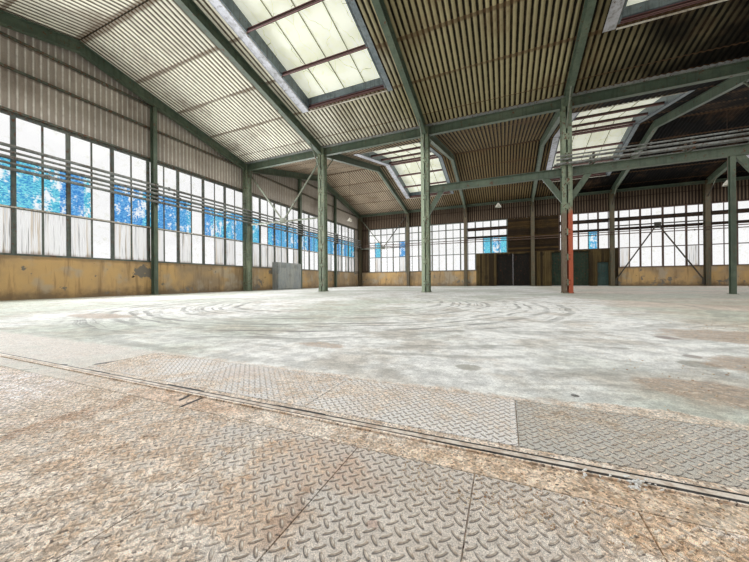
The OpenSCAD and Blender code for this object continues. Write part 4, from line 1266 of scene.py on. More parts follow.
def beside_windows(wall, spans, row):
    """The two rows beside the windows of a wall, at both of its ends"""
    low_lap, high_lap = SHEET_LAP
    for u0, u1 in spans:
        yield wall_row(wall, u0, u1, WINDOW_FOOT, high_lap, row, -0.004, 0.0)
        yield wall_row(wall, u0, u1, low_lap, WINDOW_HEAD - CLEAR, row + 10, 0.0, 0.004)


def build_side_walls():
    """Upright sheets above and beside the windows of the two long walls"""
    sheets = []
    top = SHEETS_UNDER - RISE * NAVE_MIDDLE - SHEET_DEPTH * RISE - 0.002
    for index, wall in enumerate(("near", "far")):
        sheets.append(wall_row(wall, -18.05, 18.05, 7.55, top, 300 + index, 0.0, 0.005))
        sheets.append(wall_row(wall, -18.05, 18.05, WINDOW_HEAD, 7.68, 310 + index, -0.004, 0.0))
        sheets += beside_windows(wall, ((-18.05, -16.735), (16.735, 18.05)), 320 + index)
    seat(sheets, "side_wall_sheets", "side_sheet", "wall_sheet", "side_cladding", angle=60)


def gable_row(wall, centre, low, high, row, lift):
    """One row of sheets over half a gable, cut off along the roof"""
    u0, u1 = sorted((0.0, 2 * centre))
    piece = waved(u0, u1, -high, -low, 0, WALL_DEPTH, row)
    for side in (1, -1):
        with editing(piece):
            normal = Vector((side * RISE, -1.0, 0.0)).normalized()
            bpy.ops.mesh.bisect(plane_co=(centre, 0.004 - SHEETS_UNDER, 0), plane_no=normal, clear_outer=True,
                                use_fill=False)
    return stood(shelled(piece), wall, lift)


def build_gable_walls():
    """Upright sheets above and beside the windows of the two gables"""
    sheets = []
    for index, wall in enumerate(("left", "right")):
        for centre in (-NAVE_MIDDLE, NAVE_MIDDLE):
            sheets.append(gable_row(wall, centre, WINDOW_HEAD, 8.12, 400 + index, 0.0))
            sheets.append(gable_row(wall, centre, 8.04, 9.16, 410 + index, 0.006))
            sheets.append(gable_row(wall, centre, 9.08, 10.50, 420 + index, 0.0))
        sheets += beside_windows(wall, ((-17.0, -16.01), (16.01, 17.0)), 430 + index)
    seat(sheets, "gable_wall_sheets", "gable_sheet", "wall_sheet", "gable_cladding", angle=60)


# ---------------------------------------------------------------- windows

def pane_model(width, height):
    """A pane with its putty bed: X across, Z up, lower left corner at the origin"""
    bpy.ops.mesh.primitive_plane_add(size=1, location=(width / 2, 0, height / 2), rotation=(QUARTER, 0, 0))
    piece = taken((width, height, 1))
    for _ in range(2):
        piece.data.materials.append(None)
    with editing(piece):
        bpy.ops.mesh.inset(thickness=0.014, depth=0)
        bpy.ops.transform.translate(value=(0, 0.004, 0))
        bpy.ops.mesh.select_all(action="INVERT")
        piece.active_material_index = 1
        bpy.ops.object.material_slot_assign()
    return shelled(piece, 0.006)


def ribbed_model(width, height):
    """A ribbed translucent sheet in place of a pane"""
    piece = shelled(waved(0, width, -height, 0, 0, 0.014, 1, 0.072, 4, 5.0), 0.003)
    piece.data.transform(turned(-QUARTER, "X"))
    return piece


def window_units():
    """(wall, start of the unit along the wall, lower edge, upper edge, tier) of each window unit"""
    lower = ((1.77, 3.32), (3.40, 5.01))
    for index in range(SIDE_UNITS):
        start = SIDE_START + index * UNIT
        for tier, (low, high) in enumerate(lower + ((5.09, 5.86), (5.94, 6.52))):
            yield "near", start, low, high, tier
            over_gates = 8 <= index < 16 if tier == 0 else 10 <= index < 13
            if not over_gates:
                yield "far", start, low, high, tier
    for wall in ("left", "right"):
        for index in range(GABLE_UNITS):
            for tier, (low, high) in enumerate(lower + ((5.09, 6.52),)):
                yield wall, GABLE_START + index * UNIT, low, high, tier


# How likely a half unit is not clear glass, and what it has instead
PANE_KINDS = {("left", 0): ("ribbed", 0.72), ("left", 1): ("blue", 0.88), ("right", 0): ("ribbed", 0.35)}
USUAL_PANES = (("ribbed", 0.15), ("blue", 0.14), ("clear", 0.0), ("clear", 0.0))


def build_panes():
    """Panes of clear and patterned glass and ribbed sheets, two to a window unit"""
    chance = random.Random(7)
    half, inner, gap = UNIT / 2, 0.06, 0.006
    models, placed = {}, {"clear": [], "blue": [], "ribbed": []}
    for wall, start, low, high, tier in window_units():
        for left in (start + inner, start + (half + gap)):
            kind, share = PANE_KINDS.get((wall, tier), USUAL_PANES[tier])
            if chance.random() >= share:
                kind = "clear"
            key = (kind == "ribbed", round(high - low, 3))
            if key not in models:
                models[key] = (ribbed_model if key[0] else pane_model)(half - inner - gap, high - low)
            lean = turned(math.radians(chance.uniform(-0.25, 0.25)), "Z")
            placed[kind].append(moved_copy(models[key], WALLS[wall] @ at(left, 0.055, low) @ lean))
    discard(*models.values())
    for kind, name, coats, angle in (("clear", "panes_clear", "glass_clear frame_paint", 0),
                                     ("blue", "panes_patterned", "glass_blue frame_paint", 0),
                                     ("ribbed", "panes_ribbed", "sheet_ribbed", 60)):
        seat(placed[kind], name, coats, "window_glass", "window_glass", angle=angle)


def build_glazing_bars():
    """A slim T bar down the middle of each window unit"""
    units = {}
    for wall, start, low, high, _ in window_units():
        units.setdefault((wall, round(start, 4)), []).append((low, high))
    models, bars = {}, []
    for (wall, start), tiers in units.items():
        for low, high in tiers:
            reach = round(high - low, 3)
            if reach not in models:
                face = bar((-0.034, 0.018, 0), (0.034, 0.027, reach), 0.002)
                web = bar((-0.006, 0.027, 0), (0.006, 0.062, reach), 0.001)
                models[reach] = joined([face, web])
            bars.append(moved_copy(models[reach], WALLS[wall] @ at(start + UNIT / 2, 0, low)))
    discard(*models.values())
    seat(bars, "glazing_bars", "frame_paint", "frame_paint")


def build_window_rail():
    """The pale rail with its nuts in front of the left gable's windows"""
    rail = joined([bar((-15.98, -0.05, 3.338), (15.98, -0.043, 3.388), 0.002),
                   bar((-15.98, -0.043, 3.338), (15.98, -0.006, 3.344), 0.001)])
    nut = tube(0.011, 0.012, (0, -0.056, 3.366), ACROSS, 6, 0.001)
    piece = joined([rail, in_line(nut, 44, UNIT / 2, at(-15.6, 0, 0))])
    discard(nut)
    piece.data.transform(WALLS["left"])
    seat([piece], "left_window_rail", "white_board", "frame_paint")


def build_window_girts():
    """Dark channels on the far wall at the upper transoms, between the side columns"""
    girts = []
    for low, high in ((5.62, 5.94), (4.86, 5.06)):
        for x0, x1 in ((-5.84, -2.13), (2.13, 5.84), (6.16, 11.84), (12.16, 17.55)):
            girts.append(bar((x0, 16.985, low), (x1, 16.9995, high), 0.002))
            for z in (low, high - 0.009):
                girts.append(bar((x0, 16.935, z), (x1, 16.9855, z + 0.009), 0.002))
    seat(girts, "far_wall_girts", "girt_brown", "frame_paint")


# ---------------------------------------------------------------- floor plates and grit

def set_on(points, model, **values):
    """Sets a model on points, as real faces"""
    thing = Flow(node(points.socket.id_data, "GeometryNodeObjectInfo", {"Object": model}).outputs["Geometry"])
    placed = made("GeometryNodeInstanceOnPoints", {"Points": points, "Instance": thing, **values})
    return made("GeometryNodeRealizeInstances", {"Geometry": placed})


def tear_model():
    """One raised tear of a floor plate, 8 faces"""
    bpy.ops.mesh.primitive_cone_add(vertices=8, radius1=0.5, depth=1.0, end_fill_type="NOTHING",
                                    location=(0, 0, 0.5))
    taken()
    piece = taken((0.028, 0.0078, 0.0022))
    for point in piece.data.vertices:
        point.select = 0.006 < abs(point.co.x) < 0.012
    bpy.ops.object.mode_set(mode="EDIT")
    bpy.ops.transform.resize(value=(1.0, 0.8, 1.0), center_override=(0, 0, 0))
    bpy.ops.object.mode_set(mode="OBJECT")
    bpy.ops.object.shade_smooth_by_angle(angle=math.radians(80))
    return piece


def tear_nodes(tear):
    """Geometry nodes that set a turned tear on each point"""
    tree, takes = new_group("set tears", "GeometryNodeTree", {"Geometry": GEOMETRY, "Turn": 0.0},
                            {"Geometry": GEOMETRY})
    spin = made("ShaderNodeCombineXYZ", {"Z": takes["Turn"]})
    node(tree, "NodeGroupOutput", {0: set_on(takes["Geometry"], tear, Rotation=spin)})
    return tree


def tear_field(strip, turn, start, nodes):
    """The tears of one family on every plate of a strip"""
    fields, step = [], TEAR_STEP
    for index in range(strip["count"]):
        left = strip["x0"] + index * strip["width"] + PLATE_MARGIN + start
        right = strip["x0"] + (index + 1) * strip["width"] - PLATE_MARGIN
        across = int((right - left) / step)
        down = int((strip["y1"] - strip["y0"] - 0.030 - start) / step)
        middle = (left + across * step / 2, strip["y1"] - PLATE_MARGIN - start - down * step / 2, FLOOR)
        fields.append(grid(middle, across * step, down * step, across, down))
    return run_nodes(joined(fields), nodes, Turn=turn)


def build_tears():
    """Raised tears on the pit and trench cover plates, turned one way and the other"""
    tear = tear_model()
    nodes = tear_nodes(tear)
    for name, strip in (("pit_plate_tears", PIT), ("trench_plate_tears", TRENCH)):
        fields = [tear_field(strip, math.radians(turn), start, nodes)
                  for turn, start in ((45, 0.0), (-45, TEAR_STEP / 2))]
        seat(fields, name, "plate_tear", "plate_steel")
    discard(tear)


def scatter_nodes(chip):
    """Geometry nodes that strew a chip over faces, turned and sized at random"""
    tree, takes = new_group("strew chips", "GeometryNodeTree", {
        "Geometry": GEOMETRY, "Density": 0.0, "Smallest": 0.0, "Largest": 0.0, "Seed": COUNT},
        {"Geometry": GEOMETRY})
    seed, smallest = takes["Seed"], takes["Smallest"]
    clumps = between(cloud(source(tree, "GeometryNodeInputPosition", 0), 2.2, 3, 0.6), 0.42, 0.68, 0.05, 1.0)
    points = made("GeometryNodeDistributePointsOnFaces",
                  {"Mesh": takes["Geometry"], "Density": takes["Density"] * clumps, "Seed": seed}, "Points")
    turn = made("FunctionNodeRandomValue", {0: (0, 0, 0), 1: (0.6, 0.6, math.tau), "Seed": seed}, 0,
                data_type="FLOAT_VECTOR")
    size = made("FunctionNodeRandomValue", {2: 0.0, 3: 1.0, "Seed": seed}, 1, data_type="FLOAT")
    size = smallest + calc("POWER", size, 3.0) * (takes["Largest"] - smallest)
    node(tree, "NodeGroupOutput", {0: set_on(points, chip, Rotation=turn, Scale=size)})
    return tree


def chip_model():
    """An angular crumb one metre across, sized where it is strewn"""
    bpy.ops.mesh.primitive_ico_sphere_add(subdivisions=1, radius=0.5)
    knock = random.Random(3)
    for point in bpy.context.active_object.data.vertices:
        point.co *= knock.uniform(0.6, 1.15)
    return taken((1.0, 0.7, 0.45))


# Name, finish, height, chips on a square metre, their smallest and largest size, seed, and (x0, x1, y0, y1) of
# each patch: gravel along the edge angle, grit over the plates, rubble on the floor, plaster near the trench
GRIT = (
    ("floor_gravel", "grit", 0.0012, 26000.0, 0.0025, 0.0085, 14,
     ((-2.95, -1.35, -14.085, -13.972), (-2.7, -1.2, -14.22, -14.085))),
    ("floor_grit", "grit", 0.0012, 1500.0, 0.002, 0.008, 11,
     ((-6.2, 1.2, -14.075, -13.975), (-5.6, 0.2, -14.75, -14.08), (-4.9, 0.6, -13.87, -13.44))),
    ("floor_rubble", "grit", 0.0012, 420.0, 0.004, 0.022, 12,
     ((-1.8, -0.2, -13.36, -12.2), (-0.6, 3.0, -12.2, -9.6), (1.4, 6.0, -9.6, -7.5))),
    ("plaster_crumbs", "plaster_crumb", 0.008, 16000.0, 0.010, 0.026, 13, ((-2.24, -2.04, -14.00, -13.94),)),
)


def build_grit():
    """Gravel, grit, rubble and crumbs of plaster"""
    chip = chip_model()
    nodes = scatter_nodes(chip)
    for name, coat, height, density, smallest, largest, seed, patches in GRIT:
        fields = [grid(((x0 + x1) / 2, (y0 + y1) / 2, FLOOR + height), x1 - x0, y1 - y0, 2, 2)
                  for x0, x1, y0, y1 in patches]
        field = run_nodes(joined(fields), nodes, Density=density, Smallest=smallest, Largest=largest, Seed=seed)
        seat([field], name, coat, "floor_concrete")
    discard(chip)


# ---------------------------------------------------------------- fittings

def slopes():
    for centre in (-NAVE_MIDDLE, NAVE_MIDDLE):
        for side in (1, -1):
            yield centre, side


def build_rooflight_trim():
    """Glazing bars under the panes, side flashings on the lining and the white edge board below each rooflight"""
    run = LIGHT_RUN * ALONG
    rib = joined([bar((-0.012, 0.06, 0), (0.012, run - 0.07, 0.022), 0.002),
                  bar((-0.022, 0.06, 0.022), (0.022, run - 0.07, 0.028), 0.001)])
    wide = joined([bar((-0.36, 0.03, -0.008), (-0.02, run + 0.1, -0.0055), 0.001),
                   bar((-0.372, 0.03, -0.02), (-0.356, run + 0.1, -0.0055), 0.002)])
    slim = joined([bar((0.02, 0.03, -0.008), (0.24, run + 0.16, -0.0055), 0.001),
                   bar((0.228, 0.03, -0.016), (0.242, run + 0.16, -0.0055), 0.002)])
    board = bar((-2.0, run + 0.065, -0.03), (2.0, run + 0.125, -0.0055))
    ribs, flashings, bands, boards = [], [], [], []
    for centre, side in slopes():
        lining = slope_place(centre, side, LINING_UNDER)
        panes = at(0, 0, SHEETS_UNDER - LINING_UNDER + 0.3 - 0.03 * ALONG) @ lining
        lay = moved_copy if side > 0 else mirrored
        for middle in LIGHT_CENTRES:
            x = middle * side
            ribs += [moved_copy(rib, panes @ at(x + step, 0, 0)) for step in (-1.0, 0.0, 1.0)]
            flashings.append(lay(wide, lining @ at(x - LIGHT_HALF * side, 0, 0)))
            bands.append(lay(slim, lining @ at(x + LIGHT_HALF * side, 0, 0)))
            boards.append(moved_copy(board, lining @ at(x, 0, 0)))
    discard(rib, wide, slim, board)
    seat(ribs, "rooflight_glazing_bars", "pane_rib", "light_pane")
    seat(flashings, "rooflight_flashings", "flashing_zinc", "kerb_zinc")
    seat(bands, "rooflight_side_bands", "band_zinc", "kerb_zinc")
    seat(boards, "rooflight_edge_boards", "white_board", "kerb_zinc")


def build_hook_caps():
    """Caps of the hook bolts that hold the weather sheets, on every third crest over the purlins"""
    cap = spun([(0.0, 0.017), (0.008, 0.0165), (0.0145, 0.012), (0.017, 0.004), (0.024, 0.0)], 8)
    step = 3 * setting("wave_pitch")
    rows = []
    for centre, side in slopes():
        place = at(0, 0, SHEETS_UNDER - LINING_UNDER) @ slope_place(centre, side, LINING_UNDER)
        cuts = [middle * side + way * (LIGHT_HALF + 0.15) for middle in LIGHT_CENTRES for way in (-1, 1)]
        for off in (0.35,) + PURLINS[1:]:
            reach = off + (0.10 if off == LIGHT_RUN else 0.0)
            ends = sorted([-18.0, 18.0] + (cuts if off < LIGHT_RUN else []))
            for x0, x1 in zip(ends[::2], ends[1::2]):
                first = math.ceil((x0 - 0.05) / step)
                count = math.floor((x1 - 0.05) / step) - first + 1
                spot = at(first * step + 0.05, reach * ALONG, SHEET_DEPTH + 0.004)
                rows.append(in_line(cap, count, step, place @ spot))
    discard(cap)
    seat(rows, "sheet_hook_caps", "bolt_steel", "roof_sheet", angle=50)


def bolt_model():
    """Washer, hexagon nut and thread end, out along +Z"""
    return joined([tube(0.023, 0.004, (0, 0, 0.002), sides=12), tube(0.019, 0.014, (0, 0, 0.011), sides=6),
                   tube(0.01, 0.01, (0, 0, 0.023), sides=6)])


def build_bolts():
    """Nuts on the battens, gusset plates and foot plates of the frames"""
    bolt = bolt_model()
    bolts = []

    def put(x, y, z, turn=Matrix()):
        bolts.append(moved_copy(bolt, at(x, y, z) @ turn))

    step = (EAVES_HEIGHT - 1.85) / 6
    for x in FRAMES:
        for z in [0.45 + index * step for index in range(6)] + [EAVES_HEIGHT - 1.65]:
            for way in (1, -1):
                for dx in (-0.062, 0.062):
                    for dz in (-0.085, 0.085):
                        put(x + dx, way * 0.201, FLOOR + z + dz, turned(-way * QUARTER, "X"))
        for dx in (-0.175, 0.175):
            for dy in (-0.225, 0.225):
                put(x + dx, dy, FLOOR + 0.025)
            for way in (-1, 1):
                put(x + dx, way * (HALF_WIDTH - 0.385), FLOOR + 0.022)
        for way in (-1, 1):
            put(x, way * (HALF_WIDTH - 0.385), FLOOR + 0.022)
    for wall_x in (-1, 1):
        for u in POSTS:
            for dx in (-0.145, 0.145):
                for dy in (-0.12, 0.12):
                    put(wall_x * 17.8 + dx, u + dy, FLOOR + 0.020)
    discard(bolt)
    seat(bolts, "frame_bolts", "bolt_steel", "steel_green")


def build_pipe_fittings():
    """Flanges, clamps and three stop valves on the pipe runs"""
    silver, grey = [], []

    def ring(pieces, turn, place, radius, width):
        pieces.append(tube(radius, width, place, turn, 20, 0.002))

    for index in range(5):
        radius = 0.04125 if index % 2 else 0.055
        x, z = -HALF_LENGTH + 0.48 + radius, PIPE_HEIGHT + index * 0.19
        for y in (-13.2 + index * 0.31, -4.1 - index * 0.27, 3.4 + index * 0.22, 11.9 - index * 0.35):
            for shift in (-0.013, 0.013):
                ring(silver, ACROSS, (x, y + shift, z), radius + 0.036, 0.018)
            for corner in range(6):
                angle = math.radians(60 * corner + 15)
                spot = (x + math.cos(angle) * (radius + 0.022), y, z + math.sin(angle) * (radius + 0.022))
                silver.append(tube(0.007, 0.066, spot, ACROSS, 6))
        for u in POSTS:
            ring(silver, ACROSS, (x, u, z), radius + 0.006, 0.035)
    for y, z in ((-9.5, PIPE_HEIGHT), (-2.2, FLOOR + 4.76), (7.6, PIPE_HEIGHT)):
        x = -HALF_LENGTH + 0.535
        silver.append(tube(0.085, 0.16, (x, y, z), ACROSS, 20, 0.02))
        silver.append(tube(0.03, 0.17, (x + 0.085, y, z), LENGTHWISE, 14, 0.004))
        silver.append(tube(0.01, 0.12, (x + 0.22, y, z), LENGTHWISE, 10))
        bpy.ops.mesh.primitive_torus_add(major_radius=0.075, minor_radius=0.009, major_segments=28,
                                         minor_segments=8, location=(x + 0.26, y, z), rotation=LENGTHWISE)
        silver.append(taken())
        silver += [tube(0.005, 0.15, (x + 0.26, y, z), (turn, 0, 0), 8) for turn in (0, QUARTER)]
    for z in (4.36, 4.56):
        for x in (-14.6, -8.3, -1.9, 4.8, 11.2):
            for shift in (-0.012, 0.012):
                ring(grey, LENGTHWISE, (x + shift + (z - 4.36), 16.625, FLOOR + z), 0.035 + 0.030, 0.016)
        for x in FRAMES:
            ring(grey, LENGTHWISE, (x, 16.625, FLOOR + z), 0.041, 0.05)
    top = FLOOR + EAVES_HEIGHT - 3.25 + 0.34
    for way, lift, width in ((1, 0.052, 0.110), (-1, 0.052, 0.110), (1, 0.242, 0.090), (-1, 0.242, 0.090),
                             (-1, 0.402, 0.060)):
        y = way * (0.19 + 0.075 + width / 2)
        z = top + lift + width / 2
        for x in (2.3, 8.9, 15.2):
            for shift in (-0.013, 0.013):
                ring(silver, LENGTHWISE, (x + lift + shift, y, z), width / 2 + 0.030, 0.018)
        for index in range(6):
            ring(silver, LENGTHWISE, (0.9 + index * 3.0, y, z), width / 2 + 0.005, 0.030)
    seat(silver, "pipe_flanges_and_valves", "pipe_silver", "pipe_silver", angle=40)
    seat(grey, "far_pipe_flanges", "pipe_grey", "pipe_grey", angle=40)


def build_lamps():
    """Enamelled reflectors with holder, bulb and stem, in place of the plain cones"""
    shade = spun([(0.058, 0.3), (0.062, 0.285), (0.06, 0.262), (0.09, 0.235), (0.135, 0.18), (0.172, 0.11),
                  (0.196, 0.045), (0.206, 0.012), (0.2085, 0.004), (0.2075, 0.001)], 40)
    shelled(shade, 0.0025, -1)
    holder = spun([(0.0, 0.345), (0.018, 0.344), (0.03, 0.335), (0.034, 0.318), (0.048, 0.306), (0.052, 0.296),
                   (0.046, 0.286), (0.034, 0.27), (0.03, 0.235), (0.0, 0.234)], 28)
    bulb = spun([(0.0, 0.118), (0.018, 0.12), (0.034, 0.13), (0.042, 0.148), (0.042, 0.164), (0.034, 0.188),
                 (0.024, 0.212), (0.02, 0.24)], 24)
    drop = RIDGE - RISE * 0.2 - 0.003 - 6.25
    stem = tube(0.012, drop, (0, 0, drop / 2 + 0.3), sides=14)
    shades, rest, bulbs = [], [], []
    for x in (-14.8, -2.8, 9.2):
        place = at(x, 8.7, 5.95)
        shades.append(moved_copy(shade, place))
        bulbs.append(moved_copy(bulb, place))
        rest += [moved_copy(holder, place), moved_copy(stem, place)]
    discard(shade, holder, bulb, stem)
    seat(shades, "lamp_shades", "lamp_enamel", "lamp_enamel", "pendant_lamps", angle=40)
    seat(rest, "lamp_holders_and_stems", "hinge_steel", "lamp_enamel", "pendant_lamps", angle=40)
    seat(bulbs, "lamp_bulbs", "lamp_glass", "lamp_enamel", "pendant_lamps", angle=60)


def build_boards():
    """Boards over the gates, and upright boards on the gate wall, each a plank of its own"""
    chance = random.Random(21)
    planks = []
    low, high, count = 3.33, 6.60, 17
    width = (high - low) / count
    for row in range(count):
        cuts = [-2.115, -0.72 + chance.uniform(-0.4, 0.4), 0.75 + chance.uniform(-0.4, 0.4), 2.115]
        for index in range(3):
            z = low + row * width
            proud = chance.uniform(0, 0.004)
            planks.append(bar((cuts[index] + 0.002, 17.004 - proud, z + 0.002),
                              (cuts[index + 1] - 0.002, 17.034, z + width - 0.003)))
    planks.append(bar((-2.115, 17.0335, low), (2.115, 17.04, high), 0.001))
    for x in (-1.45, 1.45):
        planks.append(bar((x - 0.045, 16.972, low + 0.02), (x + 0.045, 17.0005, high - 0.02), 0.004))
    seat(planks, "infill_planks", "infill_boards", "infill_boards", "infill_boards")
    planks = []
    piers = [(-5.015, -3.125), (-0.225, 1.525), (4.425, 5.0), (5.85, 6.465)]
    spans = [(x0, x1, 0.15) for x0, x1 in piers] + [(x0, x1, top + 0.002) for x0, x1, top in OPENINGS]
    for x0, x1, foot in spans:
        number = max(2, round((x1 - x0) / 0.16))
        step = (x1 - x0) / number
        for index in range(number):
            proud = chance.uniform(0, 0.004)
            left, right = x0 + index * step, x0 + (index + 1) * step
            if any(left < x + 0.155 and right > x - 0.155 for x in (0.0, 6.0)):
                continue
            top = 3.326 - chance.uniform(0, 0.003)
            planks.append(bar((left + 0.0015, 16.978 - proud, foot + 0.002), (right - 0.0015, 17.0003, top)))
    for x0, x1 in ((-5.015, -3.125), (0.16, 1.525), (4.425, 5.0), (6.16, 6.465)):
        for z in (0.42, 1.78, 2.98):
            planks.append(bar((x0 + 0.01, 16.952, z), (x1 - 0.01, 16.9735, z + 0.11), 0.004))
    seat(planks, "gate_wall_planks", "gate_wall_boards", "gate_wall_boards")


def leaf_boards(x0, x1, y0, y1, seed):
    """Upright boards on one face of a leaf"""
    chance = random.Random(seed)
    number = max(3, round((x1 - x0) / 0.145))
    width = (x1 - x0) / number
    return [bar((x0 + index * width + 0.001, y0, 0.185),
                (x0 + (index + 1) * width - 0.001, y1, 3.205 - chance.uniform(0, 0.004)))
            for index in range(number)]


def build_gate_stops():
    """Stop battens in the gate and door openings, inside the leaves"""
    stops, back, face = [], 17.152, 17.170
    for x0, x1, top in OPENINGS:
        stops.append(bar((x0 - 0.001, back, FLOOR + 0.005), (x0 + 0.03, face, top)))
        stops.append(bar((x1 - 0.03, back, FLOOR + 0.005), (x1 + 0.001, face, top)))
        stops.append(bar((x0 + 0.031, back, top - 0.03), (x1 - 0.031, face, top + 0.001)))
    seat(stops, "gate_stops", "gate_wall_boards", "gate_wall_boards")


def build_gates():
    """Board faces, angle frames, ledges and braces of the gate leaves, and the panels of the side door"""
    back, face = 17.176, 17.1938
    for gate, centre, coat in GATES:
        for way, hand in ((-1, "left"), (1, "right")):
            body = gate + "_leaf_" + hand
            hinge_side = centre + way * 1.45
            inner, outer = sorted((hinge_side - way * 0.035, centre + way * 0.025))
            pieces = leaf_boards(inner, outer, 17.1935, 17.1998, 5 + way)
            pieces += leaf_boards(inner, outer, 17.2503, 17.2565, 9 + way)
            for z0, z1 in ((0.20, 0.29), (1.60, 1.70), (3.10, 3.19)):
                pieces.append(bar((inner, back, z0), (outer, face, z1)))
            for x0, x1 in ((inner, inner + 0.085), (outer - 0.085, outer)):
                pieces.append(bar((x0, back, 0.292), (x1, face, 1.598)))
                pieces.append(bar((x0, back, 1.702), (x1, face, 3.098)))
            for z0, z1 in ((0.30, 1.59), (1.71, 3.09)):
                reach = outer - inner - 0.19
                length = math.hypot(reach, z1 - z0) - 0.10
                brace = bar((-length / 2, -0.0075, -0.035), (length / 2, 0.0075, 0.035))
                lean = math.atan2(z1 - z0, reach) * (-way)
                brace.data.transform(at((inner + outer) / 2, 17.1855, (z0 + z1) / 2) @ turned(lean, "Y"))
                pieces.append(brace)
            handle = tube(0.009, 0.26, (centre + way * 0.085, 17.146, 1.25), sides=12, edge=0.002)
            stays = [tube(0.007, 0.032, (centre + way * 0.085, 17.161, 1.25 + lift), ACROSS, 10)
                     for lift in (-0.11, 0.11)]
            seat(pieces, body + "_boards", coat, coat, body=body)
            seat([handle] + stays, body + "_handle", "hinge_steel", coat, body=body, angle=40)
    pieces = []
    for z0, z1 in ((0.20, 0.86), (0.97, 1.50), (1.61, 2.18)):
        pieces.append(bar((5.085, 17.192, z0), (5.765, 17.2, z1), 0.006, 2))
        pieces.append(bar((5.135, 17.185, z0 + 0.05), (5.715, 17.1925, z1 - 0.05), 0.006, 2))
    seat(pieces, "side_door_panels", "door_teal", "door_teal", body="side_door")
    lever = [bar((5.045, 17.1955, 1.06), (5.077, 17.1998, 1.3), 0.002),
             tube(0.011, 0.05, (5.061, 17.172, 1.21), ACROSS, 14, 0.002),
             tube(0.0095, 0.12, (5.113, 17.15, 1.21), LENGTHWISE, 14, 0.004)]
    seat(lever, "side_door_lever", "hinge_steel", "door_teal", body="side_door", angle=40)


def build_cabinet():
    """Vent slots and a raised panel on each cabinet door"""
    for hand, way in (("left", -1), ("right", 1)):
        body = "cabinet_door_" + hand
        near, far = sorted((3.95 + way * 0.10, 3.95 + way * 1.26))
        pieces = [bar((-17.4645, near, 0.42), (-17.4595, far, 1.66))]
        middle = (near + far) / 2
        for row in range(9):
            z = 1.78 + row * 0.028
            vent = bar((-0.0035, -0.22, -0.009), (0.0035, 0.22, 0.009), 0.0015)
            vent.data.transform(at(-17.4612, middle, z) @ turned(math.radians(24), "Y"))
            pieces.append(vent)
        seat(pieces, body + "_panel_and_vents", "cabinet_grey", "cabinet_grey", body=body)


# ---------------------------------------------------------------- stage, light, camera

def build_stage():
    """Pale floor outside the hall, plain daylight, and the camera of the photo"""
    ground = joined([grid((0, 0, -0.003), 900, 900, 4, 4)], "stage_floor")
    dress(ground, "pale_stage")
    scene = bpy.context.scene
    scene.world = scene.world or bpy.data.worlds.new("daylight")
    scene.world.use_nodes = True
    tree = scene.world.node_tree
    tree.nodes.clear()
    rays = flows(node(tree, "ShaderNodeLightPath"))
    seen = calc("MAXIMUM", calc("MAXIMUM", rays["Is Camera Ray"], rays["Is Glossy Ray"]), rays["Is Transmission Ray"])
    strength = seen * (1.0 - setting("sky")) + setting("sky")
    sky = made("ShaderNodeBackground", {"Color": (1.0, 1.0, 1.0), "Strength": strength})
    node(tree, "ShaderNodeOutputWorld", {0: sky})
    add_lights()
    add_camera()
    scene.view_settings.view_transform = "Standard"


def lit(data, place, turn):
    """A light in its place, turned by degrees"""
    lamp = bpy.data.objects.new(data.name, data)
    lamp.location = place
    lamp.rotation_euler = [math.radians(angle) for angle in turn]
    bpy.context.scene.collection.objects.link(lamp)
    return lamp


def panel_light(name, place, turn, width, height, strength):
    """An area light of a set brightness, unseen by the camera"""
    data = bpy.data.lights.new(name, "AREA")
    data.shape = "RECTANGLE"
    data.size = width
    data.size_y = height
    data.energy = strength * math.pi * width * height
    lamp = lit(data, place, turn)
    lamp.visible_camera = False
    lamp.visible_transmission = False


def add_lights():
    """Panels of light before the windows and under the roofs, and a soft sun"""
    windows = setting("windows")
    tall, middle = 4.6, 4.15
    panel_light("windows_far", (0, 16.55, middle), (-90, 0, 0), 33.0, tall, windows)
    panel_light("windows_near", (0, -16.55, middle), (90, 0, 0), 33.0, tall, windows * 0.35)
    panel_light("windows_left", (-17.3, 0, middle), (0, -90, 0), tall, 31.0, windows * 3.4)
    panel_light("windows_right", (17.3, 0, middle), (0, 90, 0), tall, 31.0, windows * 0.5)
    for centre in (-NAVE_MIDDLE, NAVE_MIDDLE):
        panel_light("roof_fill", (0, centre, 7.6), (0, 0, 0), 34.0, 15.5, setting("ceiling"))
    sun = bpy.data.lights.new("soft_sun", "SUN")
    sun.energy = 0.7
    sun.angle = math.radians(25)
    lit(sun, (0, 0, 0), (40, -18, 15))


def add_camera():
    """The camera fitted to the photo's straight lines"""
    yaw, pitch, roll = 0.402495, 0.000729, -0.0079558
    forward = Vector((-math.sin(yaw) * math.cos(pitch), math.cos(yaw) * math.cos(pitch), math.sin(pitch)))
    level = Vector((math.cos(yaw), math.sin(yaw), 0.0))
    rise = level.cross(forward)
    right = math.cos(roll) * level + math.sin(roll) * rise
    up = -math.sin(roll) * level + math.cos(roll) * rise
    data = bpy.data.cameras.new("camera")
    data.sensor_width = 36.0
    data.lens = 14.70
    data.clip_start = 0.02
    data.clip_end = 1000.0
    camera = bpy.data.objects.new("camera", data)
    bpy.context.scene.collection.objects.link(camera)
    camera.matrix_world = at(-2.416, -15.003, 0.708) @ Matrix((right, up, -forward)).transposed().to_4x4()
    bpy.context.scene.camera = camera


# ---------------------------------------------------------------- operators

class HALL_OT_finishes(bpy.types.Operator):
    """Gives every carried-over node its finish"""
    bl_idname = "hall.finishes"
    bl_label = "Finishes"

    def execute(self, context):
        for name, nodes in NODE_FINISH.items():
            for label in nodes:
                piece = NODES[label]
                dress(piece, *[name] * max(1, len(piece.material_slots)))
        return {"FINISHED"}


